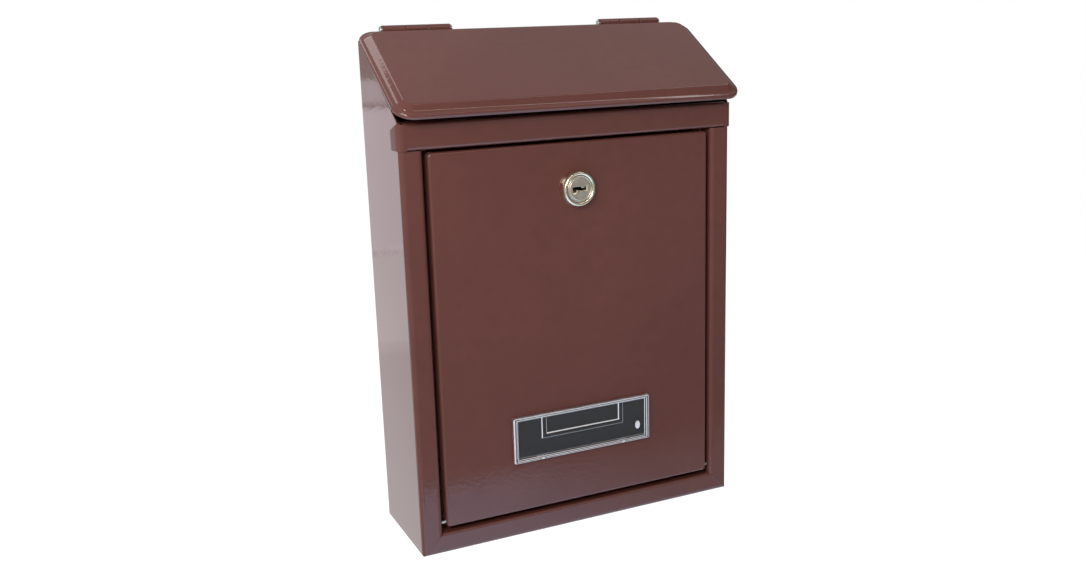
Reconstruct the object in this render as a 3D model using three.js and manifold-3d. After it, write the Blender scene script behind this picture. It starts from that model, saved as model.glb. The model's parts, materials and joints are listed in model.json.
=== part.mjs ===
// Wall-mounted sheet-steel mailbox: a folded body with a bottom-hinged front door, a cam lock, a clear
// name plate and a pressed, sloping lid on two butt hinges. Millimetres, +Z up, front towards -Y.
// Everything is laid out with z = 0 at the underside and y = 0 at the wall; the exported group is then
// lowered so that its origin is the centre of the wall face.
import * as THREE from "three";
import { mergeVertices } from "three/addons/utils/BufferGeometryUtils.js";
import Module from "manifold-3d";

const wasm = await Module();
wasm.setup();

// ---------------------------------------------------------------- driving dimensions
const SHEET = 0.8; // steel sheet of body, door and lid
const WELD_GAP = 0.1; // paint-thick gap between sheets that are spot-welded together
const WALL_FACE_HEIGHT = 150; // the origin, above the underside

const BODY = {
  width: 215,
  depth: 67.5,
  frontTop: 257.8, // of the side walls, behind the header rail
  rearTop: 301.7, // of the side walls, at the wall
  edgeRadius: 3,
  cornerRadius: 2.4,
};
const OPENING = { halfWidth: 93.9, bottom: 12.9, top: 242.7, lipDepth: 10.9, ledge: 6, lipRadius: 3 };
const HEADER = { top: 258.1, topReturn: 12, strikeReturn: 16.2, tab: 11, edgeRadius: 2.2 };
const PANEL = { side: 106.5, bottom: 1, top: 303.4, flange: 10, foot: 8 };
const KEYHOLE = { x: 72, z: 218, entryRadius: 5, slotWidth: 5.4, slotLength: 10 };
const SCREW_HOLE = { x: 72, z: 30, radius: 3 };

const DOOR = { halfWidth: 91.3, bottom: 16.2, top: 240.8, depth: 10, edgeRadius: 1.8, cornerRadius: 2.2 };
const DOOR_PIVOT = { y: -63.6, z: 18.9, pinRadius: 0.95, headRadius: 1.5, clearance: 0.08 };

const LID = {
  slope: THREE.MathUtils.degToRad(32.3),
  halfWidth: 111.2,
  length: 84.7,
  rearGap: 3.55, // hinge axis to the lid's rear edge, along the slope
  drop: 0.3, // hinge axis to the skirt's lower edge, across the slope
  cornerRadius: 11,
  skirt: 2.5,
  rise: 3.5, // rim to raised panel
  rearSkirt: 7.6, // below the skirt: the flange that comes to rest on the back panel
};
const HINGE = {
  x: 72.3,
  y: -2.75,
  z: 307.55,
  length: 43.2,
  sheet: 1,
  barrelRadius: 2.7,
  pinRadius: 1.66,
  boreRadius: 1.74,
  knuckleGap: 0.3,
  fixedLeaf: 24, // height below the axis
  lidLeaf: 26, // length from the axis
};

const PLATE = { halfWidth: 47, bottom: 48.6, top: 77.5, rim: 2.6, depth: 2.6, cornerRadius: 0.8 };
const CARD = { halfWidth: 44.2, bottom: 51.4, top: 74.7, thickness: 0.4 };
const LOCK = {
  z: 213.4,
  bezelRadius: 11,
  bezelFront: 9.5,
  bezelHeight: 5.4,
  bodyRadius: 9.2,
  bodyLength: 16,
  flat: 7.8,
  faceRadius: 7.9,
  faceThickness: 1.4,
  plugRadius: 5.7,
};
const KEYWAY = { width: 8.6, height: 2.1, depth: 15 };
const STOP = { discRadius: 6.4, tabRadius: 8.3, tabHalfWidth: 1.6, thickness: 1 };
const NUT = { acrossFlats: 22, height: 4 };
const TAIL = { radius: 4, flat: 2.9, length: 4.6 };
const CAM = { length: 41, halfWidth: 7, thickness: 1.8 };
const WAFER = { count: 5, pitch: 2.3, thickness: 0.9, length: 11, width: 5.2, window: [8.9, 2.5] };

const MITRE_SLIT = 0.3; // at the body's lower front corners
const BEND_STEPS = 4; // facets in a right-angle sheet bend
const ROUND_STEPS = 32; // facets round a small cylinder

// ---------------------------------------------------------------- materials
const paint = new THREE.MeshStandardMaterial({ color: 0x5b3430, roughness: 0.3, metalness: 0.1 });
const chrome = new THREE.MeshStandardMaterial({ color: 0xc9c5bd, roughness: 0.2, metalness: 1 });
const zinc = new THREE.MeshStandardMaterial({ color: 0xb9bcc0, roughness: 0.4, metalness: 1 });
const brass = new THREE.MeshStandardMaterial({ color: 0xb79a55, roughness: 0.35, metalness: 1 });
const clear = new THREE.MeshStandardMaterial({ color: 0xe4e8ea, roughness: 0.1, metalness: 0 });
Object.assign(clear, { transparent: true, opacity: 0.35 });
const card = new THREE.MeshStandardMaterial({ color: 0x26272a, roughness: 0.8 });

// ---------------------------------------------------------------- solids from three.js geometry
function solid(geometry) {
  const loose = geometry.index ? geometry.toNonIndexed() : geometry;
  const bare = new THREE.BufferGeometry().setAttribute("position", loose.getAttribute("position"));
  const merged = mergeVertices(bare, 1e-4);
  const triVerts = new Uint32Array(merged.index.array);
  return new wasm.Manifold(
    new wasm.Mesh({ numProp: 3, vertProperties: merged.attributes.position.array, triVerts }),
  );
}

function geometryOf(body) {
  const made = body.getMesh();
  const geometry = new THREE.BufferGeometry();
  geometry.setAttribute("position", new THREE.BufferAttribute(new Float32Array(made.vertProperties), 3));
  geometry.setIndex(new THREE.BufferAttribute(new Uint32Array(made.triVerts), 1));
  geometry.computeVertexNormals();
  return geometry;
}

const join = (...bodies) => bodies.reduce((all, next) => all.add(next));
const cut = (body, ...tools) => tools.reduce((left, tool) => left.subtract(tool), body);

function part(name, body, material) {
  const mesh = new THREE.Mesh(geometryOf(body), material);
  mesh.name = name;
  return mesh;
}

// ---------------------------------------------------------------- outlines and extrusions
const toShape = (points) => new THREE.Shape(points.map(([a, b]) => new THREE.Vector2(a, b)));
const extrude = (points, options) =>
  new THREE.ExtrudeGeometry(toShape(points), { bevelEnabled: false, ...options });
const axes = {
  X: [new THREE.Vector3(0, 1, 0), new THREE.Vector3(0, 0, 1), new THREE.Vector3(1, 0, 0)],
  Y: [new THREE.Vector3(1, 0, 0), new THREE.Vector3(0, 0, 1), new THREE.Vector3(0, -1, 0)],
  Z: [new THREE.Vector3(1, 0, 0), new THREE.Vector3(0, 1, 0), new THREE.Vector3(0, 0, 1)],
};

// A prism of a (y, z) outline along X, an (x, z) outline along Y, or an (x, y) outline along Z.
function prism(axis, points, low, high) {
  const turn = new THREE.Matrix4().makeBasis(...axes[axis]);
  const shift = new THREE.Vector3().setComponent("XYZ".indexOf(axis), axis === "Y" ? high : low);
  const made = extrude(points, { depth: high - low }).applyMatrix4(turn);
  return solid(made.translate(shift.x, shift.y, shift.z));
}

const around = (centre, half) => [centre - half, centre + half];
const ordered = (from, to) => [Math.min(from, to), Math.max(from, to)];

function block(x, y, z) {
  const size = [x, y, z].map(([low, high]) => high - low);
  const centre = [x, y, z].map(([low, high]) => (low + high) / 2);
  return solid(new THREE.BoxGeometry(...size).translate(...centre));
}

// A cylinder, or a cone, along an axis, with corners of its polygon on the radius.
function cylinder(axis, radius, low, high, [u, v] = [0, 0], endRadius = radius, sides = ROUND_STEPS) {
  const made = new THREE.CylinderGeometry(endRadius, radius, high - low, sides);
  made.translate(0, (low + high) / 2, 0);
  if (axis === "X") made.rotateZ(-Math.PI / 2).translate(0, u, v);
  if (axis === "Y") made.translate(u, 0, v);
  if (axis === "Z") made.rotateX(Math.PI / 2).translate(u, v, 0);
  return solid(made);
}

// The middle line of a folded sheet: straight legs between corners, with an arc at each bend.
function filleted(corners, radii) {
  const points = corners.map(([a, b]) => new THREE.Vector2(a, b));
  const line = [points[0]];
  for (let i = 1; i < points.length - 1; i++) {
    const back = points[i - 1].clone().sub(points[i]).normalize();
    const ahead = points[i + 1].clone().sub(points[i]).normalize();
    const turn = Math.PI - Math.acos(THREE.MathUtils.clamp(back.dot(ahead), -1, 1));
    const radius = Array.isArray(radii) ? radii[i - 1] : radii;
    const reach = radius * Math.tan(turn / 2);
    const bisector = back.clone().add(ahead).normalize();
    const centre = bisector.multiplyScalar(radius / Math.cos(turn / 2)).add(points[i]);
    const start = back.clone().multiplyScalar(reach).add(points[i]).sub(centre);
    const side = Math.sign(back.cross(ahead)) || 1;
    const steps = Math.max(2, Math.round((BEND_STEPS * turn) / (Math.PI / 2)));
    for (let k = 0; k <= steps; k++) {
      line.push(start.clone().rotateAround(new THREE.Vector2(), (-side * turn * k) / steps).add(centre));
    }
  }
  line.push(points[points.length - 1]);
  return line;
}

// The closed outline of a sheet of a thickness that follows a folded middle line.
function sheetOutline(corners, radii, thickness = SHEET) {
  const line = filleted(corners, radii);
  const offset = (amount) =>
    line.map((point, i) => {
      const after = line[i + 1] && line[i + 1].clone().sub(point).normalize();
      const before = line[i - 1] ? point.clone().sub(line[i - 1]).normalize() : after.clone();
      const along = before.clone().add(after ?? before).normalize();
      const scale = amount / Math.max(0.5, along.dot(before));
      return [point.x - along.y * scale, point.y + along.x * scale];
    });
  return [...offset(thickness / 2), ...offset(-thickness / 2).reverse()];
}

// The corner points of a rounded rectangle, counter-clockwise.
function roundedRectangle(halfX, halfY, radius, steps = BEND_STEPS) {
  const corners = [[1, 1], [-1, 1], [-1, -1], [1, -1]];
  return corners.flatMap(([sx, sy], quarter) =>
    Array.from({ length: steps + 1 }, (_, k) => {
      const angle = (quarter + k / steps) * (Math.PI / 2);
      const centre = [sx * (halfX - radius), sy * (halfY - radius)];
      return [centre[0] + radius * Math.cos(angle), centre[1] + radius * Math.sin(angle)];
    }),
  );
}

// A closed body through rounded-rectangle rings: from the middle of the first ring to that of the last.
function ringBody(rings, halfX, halfY, cornerRadius, steps = BEND_STEPS) {
  const outlines = rings.map(({ inset, height }) => {
    const radius = Math.max(0.4, cornerRadius - inset);
    return roundedRectangle(halfX - inset, halfY - inset, radius, steps).map(([x, y]) => [x, y, height]);
  });
  const count = outlines[0].length;
  const last = outlines.length - 1;
  const positions = [...outlines.flat(), [0, 0, rings[0].height], [0, 0, rings[last].height]];
  const firstCentre = positions.length - 2;
  const index = [];
  for (let i = 0; i < count; i++) {
    const j = (i + 1) % count;
    index.push(firstCentre, i, j);
    index.push(firstCentre + 1, last * count + j, last * count + i);
    for (let ring = 0; ring < last; ring++) {
      const [a, b] = [ring * count, (ring + 1) * count];
      index.push(a + i, b + i, b + j, a + i, b + j, a + j);
    }
  }
  const geometry = new THREE.BufferGeometry();
  geometry.setAttribute("position", new THREE.Float32BufferAttribute(positions.flat(), 3));
  geometry.setIndex(index);
  return geometry;
}

// Rings of a quarter-round edge of a pressed sheet, from its flat face to its wall.
const roundEdge = (inset, height, radius, steps = BEND_STEPS) =>
  Array.from({ length: steps + 1 }, (_, k) => {
    const angle = (k / steps) * (Math.PI / 2);
    const [inward, downward] = [1 - Math.sin(angle), 1 - Math.cos(angle)];
    return { inset: inset + radius * inward, height: height - radius * downward };
  });

// ---------------------------------------------------------------- body
const slopeOfWall = (BODY.rearTop - BODY.frontTop) / (BODY.depth - 1);
const wallTop = (y) => BODY.frontTop + (y + BODY.depth - 1) * slopeOfWall;

// The space over the side walls' sloping top edges.
function aboveWalls(lift = 0) {
  const far = 400;
  const outline = [
    [-BODY.depth - 5, far],
    [-BODY.depth - 5, BODY.frontTop + lift],
    [-BODY.depth + 1, BODY.frontTop + lift],
    [5, wallTop(5) + lift],
    [5, far],
  ];
  return prism("X", outline, -far, far);
}

// The body's outline seen from the front, grown by an amount: straight sides, rounded lower corners.
function bodySection(grow) {
  const radius = BODY.cornerRadius + grow;
  const edge = BODY.width / 2 + grow;
  const corner = (side) =>
    Array.from({ length: BEND_STEPS + 1 }, (_, k) => {
      const angle = (k / BEND_STEPS) * (Math.PI / 2);
      return [side * (edge - radius + radius * Math.sin(angle)), radius - grow - radius * Math.cos(angle)];
    });
  return [...corner(1), [edge, 330], [-edge, 330], ...corner(-1).reverse()];
}

const bodyFill = (grow) => prism("Y", bodySection(grow), -BODY.depth - 5, 5);

// The mitre line at a lower front corner, moved towards the side walls by an amount.
const mitreLine = (side, shift) => [
  [side * (BODY.width / 2 + shift), -shift],
  [side * (OPENING.halfWidth + shift), OPENING.bottom - shift],
];

// One side of the folded body: wall, front flange, lip round the opening and the ledge behind the door.
function bodySide(side) {
  const wall = side * (BODY.width / 2 - SHEET / 2);
  const front = -BODY.depth + SHEET / 2;
  const lip = side * (OPENING.halfWidth + SHEET / 2);
  const ledge = [lip - side * OPENING.ledge, front + OPENING.lipDepth];
  const corners = [[wall, 0], [wall, front], [lip, front], [lip, ledge[1]], ledge];
  const bends = [BODY.edgeRadius, OPENING.lipRadius, 1 + SHEET / 2].map((radius) => radius - SHEET / 2);
  const column = prism("Z", sheetOutline(corners, bends), 0, 320);
  const [low, high] = mitreLine(side, MITRE_SLIT / 2);
  const inner = side * (OPENING.halfWidth - 20);
  const below = prism("Y", [[low[0], -5], low, high, [inner, high[1]], [inner, -5]], -BODY.depth - 5, 5);
  const flangeTop = block([-200, 200], [-BODY.depth - 5, -BODY.depth + 1.3], [HEADER.top - 2.6, 330]);
  const besideOpening = ordered(side * 80, side * (BODY.width / 2 - 2));
  const lipTop = block(besideOpening, [-BODY.depth - 5, -50], [OPENING.top - 0.3, 330]);
  return cut(column, below, aboveWalls(), flangeTop, lipTop);
}

// The bottom of the folded body, with its front flange and lip.
function bodyBottom() {
  const floor = SHEET / 2;
  const front = -BODY.depth + SHEET / 2;
  const lip = OPENING.bottom - SHEET / 2;
  const corners = [[0, floor], [front, floor], [front, lip], [front + OPENING.lipDepth - 2, lip]];
  const bends = [BODY.edgeRadius - SHEET / 2, OPENING.lipRadius - SHEET / 2];
  const strip = prism("X", sheetOutline(corners, bends), -BODY.width / 2, BODY.width / 2);
  const beside = (side) => {
    const [low, high] = mitreLine(side, -MITRE_SLIT / 2);
    const outer = side * (BODY.width / 2 + 5);
    const outline = [[outer, -5], [low[0], -5], low, high, [high[0], high[1] + 5], [outer, high[1] + 5]];
    return prism("Y", outline, -BODY.depth - 5, 5);
  };
  return cut(strip, beside(-1), beside(1));
}

function bodyWrap() {
  const half = BODY.width / 2;
  const bends = cut(block([-half, half], [-BODY.depth + BODY.edgeRadius, 0], [0, 6]), bodyFill(-SHEET));
  const folded = join(bodySide(-1), bodySide(1), bodyBottom(), bends).intersect(bodyFill(0));
  const pinRadius = DOOR_PIVOT.pinRadius + DOOR_PIVOT.clearance;
  return cut(folded, cylinder("X", pinRadius, -100, 100, [DOOR_PIVOT.y, DOOR_PIVOT.z]));
}

// A keyhole: round entry below, slot above, open along Y.
function keyhole(x) {
  const { z, entryRadius, slotWidth, slotLength } = KEYHOLE;
  return join(
    cylinder("Y", entryRadius, -5, 5, [x, z]),
    block([x - slotWidth / 2, x + slotWidth / 2], [-5, 5], [z, z + slotLength]),
    cylinder("Y", slotWidth / 2, -5, 5, [x, z + slotLength]),
  );
}

function backPanel() {
  const edge = PANEL.side - SHEET / 2;
  const rear = -SHEET / 2;
  const tray = [[-edge, -PANEL.flange], [-edge, rear], [edge, rear], [edge, -PANEL.flange]];
  const aboveFlanges = cut(aboveWalls(-2), block([-200, 200], [-SHEET, 10], [0, 400]));
  const plate = cut(prism("Z", sheetOutline(tray, 1.2), PANEL.bottom, PANEL.top), aboveFlanges);
  const foot = block([-100, 100], [-PANEL.foot, -SHEET / 2], [PANEL.bottom, PANEL.bottom + SHEET]);
  const holes = [-1, 1].flatMap((side) => [
    keyhole(side * KEYHOLE.x),
    cylinder("Y", SCREW_HOLE.radius, -5, 5, [side * SCREW_HOLE.x, SCREW_HOLE.z]),
  ]);
  return cut(join(plate, foot), ...holes).intersect(bodyFill(-SHEET - 2 * WELD_GAP));
}

function headerRail() {
  const face = -BODY.depth - WELD_GAP - SHEET / 2;
  const wall = BODY.width / 2 + WELD_GAP + SHEET / 2;
  const between = OPENING.halfWidth - 0.2;
  const bends = HEADER.edgeRadius - SHEET / 2;
  const [low, high] = [OPENING.top + SHEET / 2, HEADER.top - SHEET / 2];
  const channel = [
    [face + HEADER.topReturn, high],
    [face, high],
    [face, low],
    [face + HEADER.strikeReturn, low],
  ];
  const straight = prism("X", sheetOutline(channel, bends), -wall + 4, wall - 4);
  const returnEnds = [-1, 1].map((side) =>
    block(ordered(side * between, side * 130), [-BODY.depth + 1, 0], [OPENING.top - 1, OPENING.top + 1.2]),
  );
  const end = (side) => {
    const turn = [
      [side * (wall - 5), face],
      [side * wall, face],
      [side * wall, face + HEADER.tab],
    ];
    const bend = BODY.edgeRadius + WELD_GAP + SHEET / 2;
    const strip = prism("Z", sheetOutline(turn, bend), OPENING.top, HEADER.top);
    const clipped = [
      [face - 1, HEADER.top + 1],
      [face - 1, HEADER.top - 0.6],
      [face + 2, HEADER.top - 0.6],
      [face + HEADER.tab + 1, HEADER.top - 4.6],
      [face + HEADER.tab + 1, HEADER.top + 1],
    ];
    return cut(strip, prism("X", clipped, ...ordered(side * (wall - 6), side * 120)));
  };
  return join(cut(straight, ...returnEnds), end(-1), end(1));
}

// ---------------------------------------------------------------- lid
// The lid is drawn flat about the hinge axis: x across, y up the slope, z square to the panel.
function pressedLid() {
  const edge = 1.6;
  const rim = LID.skirt;
  const top = LID.skirt + LID.rise;
  const outside = [
    { inset: 9.4, height: top },
    { inset: 7.9, height: top - 0.15 },
    { inset: 6.9, height: top - 0.5 },
    { inset: 6, height: top - 1.1 },
    { inset: 5.1, height: rim + 1.7 },
    { inset: 3.4, height: rim + 0.7 },
    ...roundEdge(0, rim, edge),
    { inset: 0, height: 0 },
  ];
  const inside = [
    { inset: SHEET, height: 0 },
    ...roundEdge(SHEET, rim - SHEET, edge - SHEET).reverse(),
    { inset: 3.6, height: rim - SHEET + 0.65 },
    { inset: 5.5, height: rim - SHEET + 1.65 },
    { inset: 6.4, height: top - SHEET - 1.05 },
    { inset: 7.2, height: top - SHEET - 0.45 },
    { inset: 8.1, height: top - SHEET - 0.15 },
    { inset: 9.6, height: top - SHEET },
  ];
  const rings = [...outside, ...inside];
  const middle = -LID.rearGap - LID.length / 2;
  const shell = ringBody(rings, LID.halfWidth, LID.length / 2, LID.cornerRadius);
  return solid(shell.translate(0, middle, -LID.drop));
}

function lidShell() {
  const rear = -LID.rearGap;
  const straight = LID.halfWidth - LID.cornerRadius;
  const flange = block([-straight, straight], [rear - SHEET, rear], [-LID.drop - LID.rearSkirt, LID.drop]);
  const underRim = LID.skirt - LID.drop - SHEET - 0.02;
  const notches = [-HINGE.x, HINGE.x].map((x) =>
    block(around(x, HINGE.length / 2 + 1.5), [rear - 2.6, rear + 1], [-20, underRim]),
  );
  return cut(join(pressedLid(), flange), ...notches);
}

// Knuckle spans of a hinge, from its left end.
function knuckle(x, place) {
  const width = HINGE.length / 3;
  const start = x - HINGE.length / 2 + place * width;
  return [start + HINGE.knuckleGap / 2, start + width - HINGE.knuckleGap / 2];
}

// The leaf that is welded under the lid, cranked up to the raised panel, in the lid's own frame.
function lidLeaf(x) {
  const half = HINGE.length / 2;
  const low = LID.skirt - SHEET - LID.drop - 0.2 - HINGE.sheet / 2;
  const high = LID.skirt + LID.rise - SHEET - LID.drop - 0.3 - HINGE.sheet / 2;
  const path = [[-1.2, low], [-LID.rearGap - 8, low], [-LID.rearGap - 11, high], [-HINGE.lidLeaf, high]];
  const leaf = prism("X", sheetOutline(path, 1.2, HINGE.sheet), x - half, x + half);
  const [start, end] = knuckle(x, 1);
  const clear = HINGE.barrelRadius + 0.5;
  const sides = join(
    block([x - half - 1, start], [-clear, 5], [-5, 5]),
    block([end, x + half + 1], [-clear, 5], [-5, 5]),
  );
  const barrel = cylinder("X", HINGE.barrelRadius, start, end);
  return cut(join(cut(leaf, sides), barrel), cylinder("X", HINGE.boreRadius, start - 1, end + 1));
}

// ---------------------------------------------------------------- fixed hinge leaves and pins
function fixedLeaf(x) {
  const half = HINGE.length / 2;
  const front = -SHEET - WELD_GAP - HINGE.sheet;
  const centre = [HINGE.y, HINGE.z];
  const upright = [HINGE.z - HINGE.fixedLeaf, HINGE.z - 1.6];
  const plate = block([x - half, x + half], [front, front + HINGE.sheet], upright);
  const [start, end] = knuckle(x, 1);
  const swept = [HINGE.z - HINGE.barrelRadius - 0.6, HINGE.z + 5];
  const middle = block([start - HINGE.knuckleGap, end + HINGE.knuckleGap], [-10, 2], swept);
  const outer = [0, 2].map((place) => cylinder("X", HINGE.barrelRadius, ...knuckle(x, place), centre));
  const bore = cylinder("X", HINGE.boreRadius, x - half - 1, x + half + 1, centre);
  return cut(join(cut(plate, middle), ...outer), bore);
}

function hingePin(x) {
  const half = HINGE.length / 2 + 0.4;
  const centre = [HINGE.y, HINGE.z];
  const head = (low, high) => cylinder("X", HINGE.pinRadius + 0.5, low, high, centre);
  const shaft = cylinder("X", HINGE.pinRadius, x - half, x + half, centre);
  return join(shaft, head(x - half - 0.6, x - half), head(x + half, x + half + 0.6));
}

// A headed pin through the body's lip and the door's side return.
function doorPin(side) {
  const span = (from, to) => ordered(side * from, side * to);
  const centre = [DOOR_PIVOT.y, DOOR_PIVOT.z];
  const inner = DOOR.halfWidth - SHEET - 2.2;
  const outer = OPENING.halfWidth + SHEET + 0.25;
  return join(
    cylinder("X", DOOR_PIVOT.pinRadius, ...span(inner, outer + 0.2), centre),
    cylinder("X", DOOR_PIVOT.headRadius, ...span(outer, outer + 1.1), centre),
  );
}

// ---------------------------------------------------------------- door
function doorPanel() {
  const halfHeight = (DOOR.top - DOOR.bottom) / 2;
  const middle = (DOOR.top + DOOR.bottom) / 2;
  const { edgeRadius, depth, cornerRadius, halfWidth } = DOOR;
  const rings = [
    ...roundEdge(0, 0, edgeRadius),
    { inset: 0, height: -depth },
    { inset: SHEET, height: -depth },
    ...roundEdge(SHEET, -SHEET, edgeRadius - SHEET).reverse(),
  ];
  const pan = ringBody(rings, halfWidth, halfHeight, cornerRadius);
  pan.rotateX(Math.PI / 2).translate(0, -BODY.depth, middle);
  const lockHole = lockSection(0.15);
  const slots = PLATE_CLIPS.map(([x, z]) => block(around(x, 3.3), around(-BODY.depth, 2), around(z, 0.9)));
  const pinRadius = DOOR_PIVOT.pinRadius + DOOR_PIVOT.clearance;
  const pinHoles = cylinder("X", pinRadius, -100, 100, [DOOR_PIVOT.y, DOOR_PIVOT.z]);
  return cut(solid(pan), prism("Y", lockHole, -BODY.depth - 3, -BODY.depth + 3), pinHoles, ...slots);
}

// ---------------------------------------------------------------- name plate
const PLATE_CLIPS = [-28, 28].flatMap((x) => [
  [x, PLATE.bottom + 1.3],
  [x, PLATE.top - 1.3],
]);

function plateCover() {
  const { halfWidth, bottom, top, rim, depth, cornerRadius } = PLATE;
  const front = -BODY.depth - depth;
  const back = -BODY.depth - 0.05;
  const centre = (bottom + top) / 2;
  const halfHeight = (top - bottom) / 2;
  const rings = [
    { inset: rim + 0.3, height: depth - 1.1 },
    { inset: rim - 0.3, height: depth - 0.1 },
    { inset: rim - 0.6, height: depth },
    { inset: 0.6, height: depth },
    { inset: 0, height: depth - 0.6 },
    { inset: 0, height: 0.05 },
  ];
  const tray = ringBody(rings, halfWidth, halfHeight, cornerRadius).rotateX(Math.PI / 2);
  const body = solid(tray.translate(0, -BODY.depth, centre));
  const pocketHeight = [CARD.bottom - 0.3, CARD.top + 0.3];
  const pocket = block(around(0, CARD.halfWidth + 0.3), [back - 0.55, 0], pocketHeight);
  const bar = (x, z) => block(x, [front + 0.5, front + 1.3], z);
  const tongue = [
    bar([-28, -25], [62, top - rim]),
    bar([25, 28], [62, top - rim]),
    bar([-28, 28], [62, 64.8]),
  ];
  const clips = PLATE_CLIPS.map(([x, z]) => {
    const barb = Math.sign(z - centre) * 0.55;
    return join(
      block(around(x, 3), [-BODY.depth - 0.6, -BODY.depth + 3], around(z, 0.6)),
      block(around(x, 3), [-BODY.depth + 1.2, -BODY.depth + 2.4], around(z + barb, 0.6)),
    );
  });
  return join(cut(body, pocket), ...tongue, ...clips);
}

function plateCard() {
  const back = -BODY.depth - 0.08;
  return block([-CARD.halfWidth, CARD.halfWidth], [back - CARD.thickness, back], [CARD.bottom, CARD.top]);
}

// ---------------------------------------------------------------- cam lock, about x = 0, z = LOCK.z
const LOCK_FACE = -BODY.depth - LOCK.bezelHeight;
const LOCK_REAR = -BODY.depth + SHEET + LOCK.bodyLength;

// The lock body's section: a circle with a flat on each side.
function lockSection(grow = 0) {
  const [radius, flat] = [LOCK.bodyRadius + grow, LOCK.flat + grow];
  return Array.from({ length: ROUND_STEPS }, (_, k) => {
    const angle = (k / ROUND_STEPS) * 2 * Math.PI;
    return [THREE.MathUtils.clamp(radius * Math.cos(angle), -flat, flat), LOCK.z + radius * Math.sin(angle)];
  });
}

// A turned piece about the lock's axis, from (radius, y) points.
function turned(profile, sides = ROUND_STEPS) {
  const points = profile.map(([radius, y]) => new THREE.Vector2(radius, y));
  const made = new THREE.LatheGeometry([...points, points[0].clone()], sides);
  return solid(made).translate([0, 0, LOCK.z]);
}

function lockHousing() {
  const { bezelRadius, bezelFront, bezelHeight, faceRadius, faceThickness, plugRadius } = LOCK;
  const seat = LOCK_FACE + faceThickness + 0.5;
  const door = -BODY.depth - 0.05;
  const bezel = turned([
    [plugRadius + 0.08, door],
    [plugRadius + 0.08, seat],
    [faceRadius + 0.12, seat],
    [faceRadius + 0.12, LOCK_FACE + 0.9],
    [faceRadius + 0.55, LOCK_FACE + 0.25],
    [bezelFront - 0.4, LOCK_FACE],
    [bezelFront + 0.3, LOCK_FACE + 0.35],
    [bezelRadius - 0.4, LOCK_FACE + 1.9],
    [bezelRadius, door - 0.8],
    [bezelRadius, door],
  ]);
  const barrel = prism("Y", lockSection(), door - 1, LOCK_REAR);
  const bore = cylinder("Y", plugRadius + 0.08, door - 2, LOCK_REAR + 1, [0, LOCK.z]);
  const grooves = block(around(0, plugRadius + 1), [seat + 1, LOCK_REAR + 5], around(LOCK.z, 2.8));
  return cut(join(bezel, barrel, stopRing()), bore, grooves);
}

// The raised rim at the rear of the lock body, open over the quarter turn of the stop washer's tab.
function stopRing() {
  const rim = prism("Y", lockSection(), LOCK_REAR - 0.5, LOCK_REAR + STOP.thickness + 0.1);
  const inner = cylinder("Y", STOP.discRadius + 0.4, LOCK_REAR, LOCK_REAR + 5, [0, LOCK.z]);
  const reach = STOP.tabHalfWidth + 0.3;
  const sweep = block([-20, reach], [LOCK_REAR, LOCK_REAR + 5], [LOCK.z - 20, LOCK.z + reach]);
  return cut(rim, inner, sweep);
}

const WAFER_TOP = LOCK.z + WAFER.width / 2;
const waferPlace = (i) => LOCK_FACE + LOCK.faceThickness + 3.2 + i * WAFER.pitch;

function lockPlug() {
  const { faceRadius, faceThickness, plugRadius } = LOCK;
  const face = LOCK_FACE + 0.45;
  const seat = face + faceThickness;
  const tail = LOCK_REAR + TAIL.length;
  const body = turned([
    [0, face],
    [faceRadius - 1.3, face],
    [faceRadius - 1, face + 0.2],
    [faceRadius - 0.6, face + 0.2],
    [faceRadius - 0.3, face - 0.1],
    [faceRadius, face + 0.2],
    [faceRadius, seat],
    [plugRadius, seat],
    [plugRadius, LOCK_REAR],
    [0, LOCK_REAR],
  ]);
  const doubleD = Array.from({ length: 24 }, (_, k) => {
    const angle = (k / 24) * 2 * Math.PI;
    const z = THREE.MathUtils.clamp(TAIL.radius * Math.sin(angle), -TAIL.flat, TAIL.flat);
    return [TAIL.radius * Math.cos(angle), LOCK.z + z];
  });
  const keyDepth = [face - 2, face + KEYWAY.depth];
  const keyway = block(around(0, KEYWAY.width / 2), keyDepth, around(LOCK.z, KEYWAY.height / 2));
  const ward = block([-KEYWAY.width / 2 - 1, -0.9], keyDepth, [LOCK.z - 2, LOCK.z - 0.35]);
  const slots = Array.from({ length: WAFER.count }, (_, i) => {
    const y = waferPlace(i);
    const slot = block([-8, 8], around(y, WAFER.thickness / 2 + 0.1), around(LOCK.z, WAFER.width / 2 + 0.1));
    const pocket = block([-0.35, 4.4], around(y, 0.65), [WAFER_TOP, WAFER_TOP + 1.4]);
    return join(slot, pocket);
  });
  const screwHole = cylinder("Y", 1.75, LOCK_REAR - 6, tail + 1, [0, LOCK.z]);
  return cut(join(body, prism("Y", doubleD, LOCK_REAR - 0.5, tail)), cut(keyway, ward), screwHole, ...slots);
}

// A tumbler wafer: a thin plate with the key's window and a shoulder for its spring.
function lockWafer(i) {
  const y = waferPlace(i);
  const along = around(y, WAFER.thickness / 2);
  const plate = block(around(0, WAFER.length / 2), along, around(LOCK.z, WAFER.width / 2));
  const shift = ((i * 2) % 3) * 0.25 - 0.25;
  const [wide, high] = WAFER.window;
  const hole = block(around(shift, wide / 2), around(y, 2), around(LOCK.z, high / 2));
  const shoulder = block([-0.2, 0.5], along, [WAFER_TOP - 0.2, WAFER_TOP + 1.2]);
  const rim = cylinder("Y", LOCK.plugRadius, y - 2, y + 2, [0, LOCK.z]);
  return cut(join(plate, shoulder), hole).intersect(rim);
}

// The small coil that pushes a wafer out into the housing's groove.
class Coil extends THREE.Curve {
  constructor(radius, length, turns) {
    super();
    Object.assign(this, { radius, length, turns });
  }
  getPoint(t) {
    const angle = t * this.turns * 2 * Math.PI;
    return new THREE.Vector3(t * this.length, this.radius * Math.cos(angle), this.radius * Math.sin(angle));
  }
}

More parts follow.
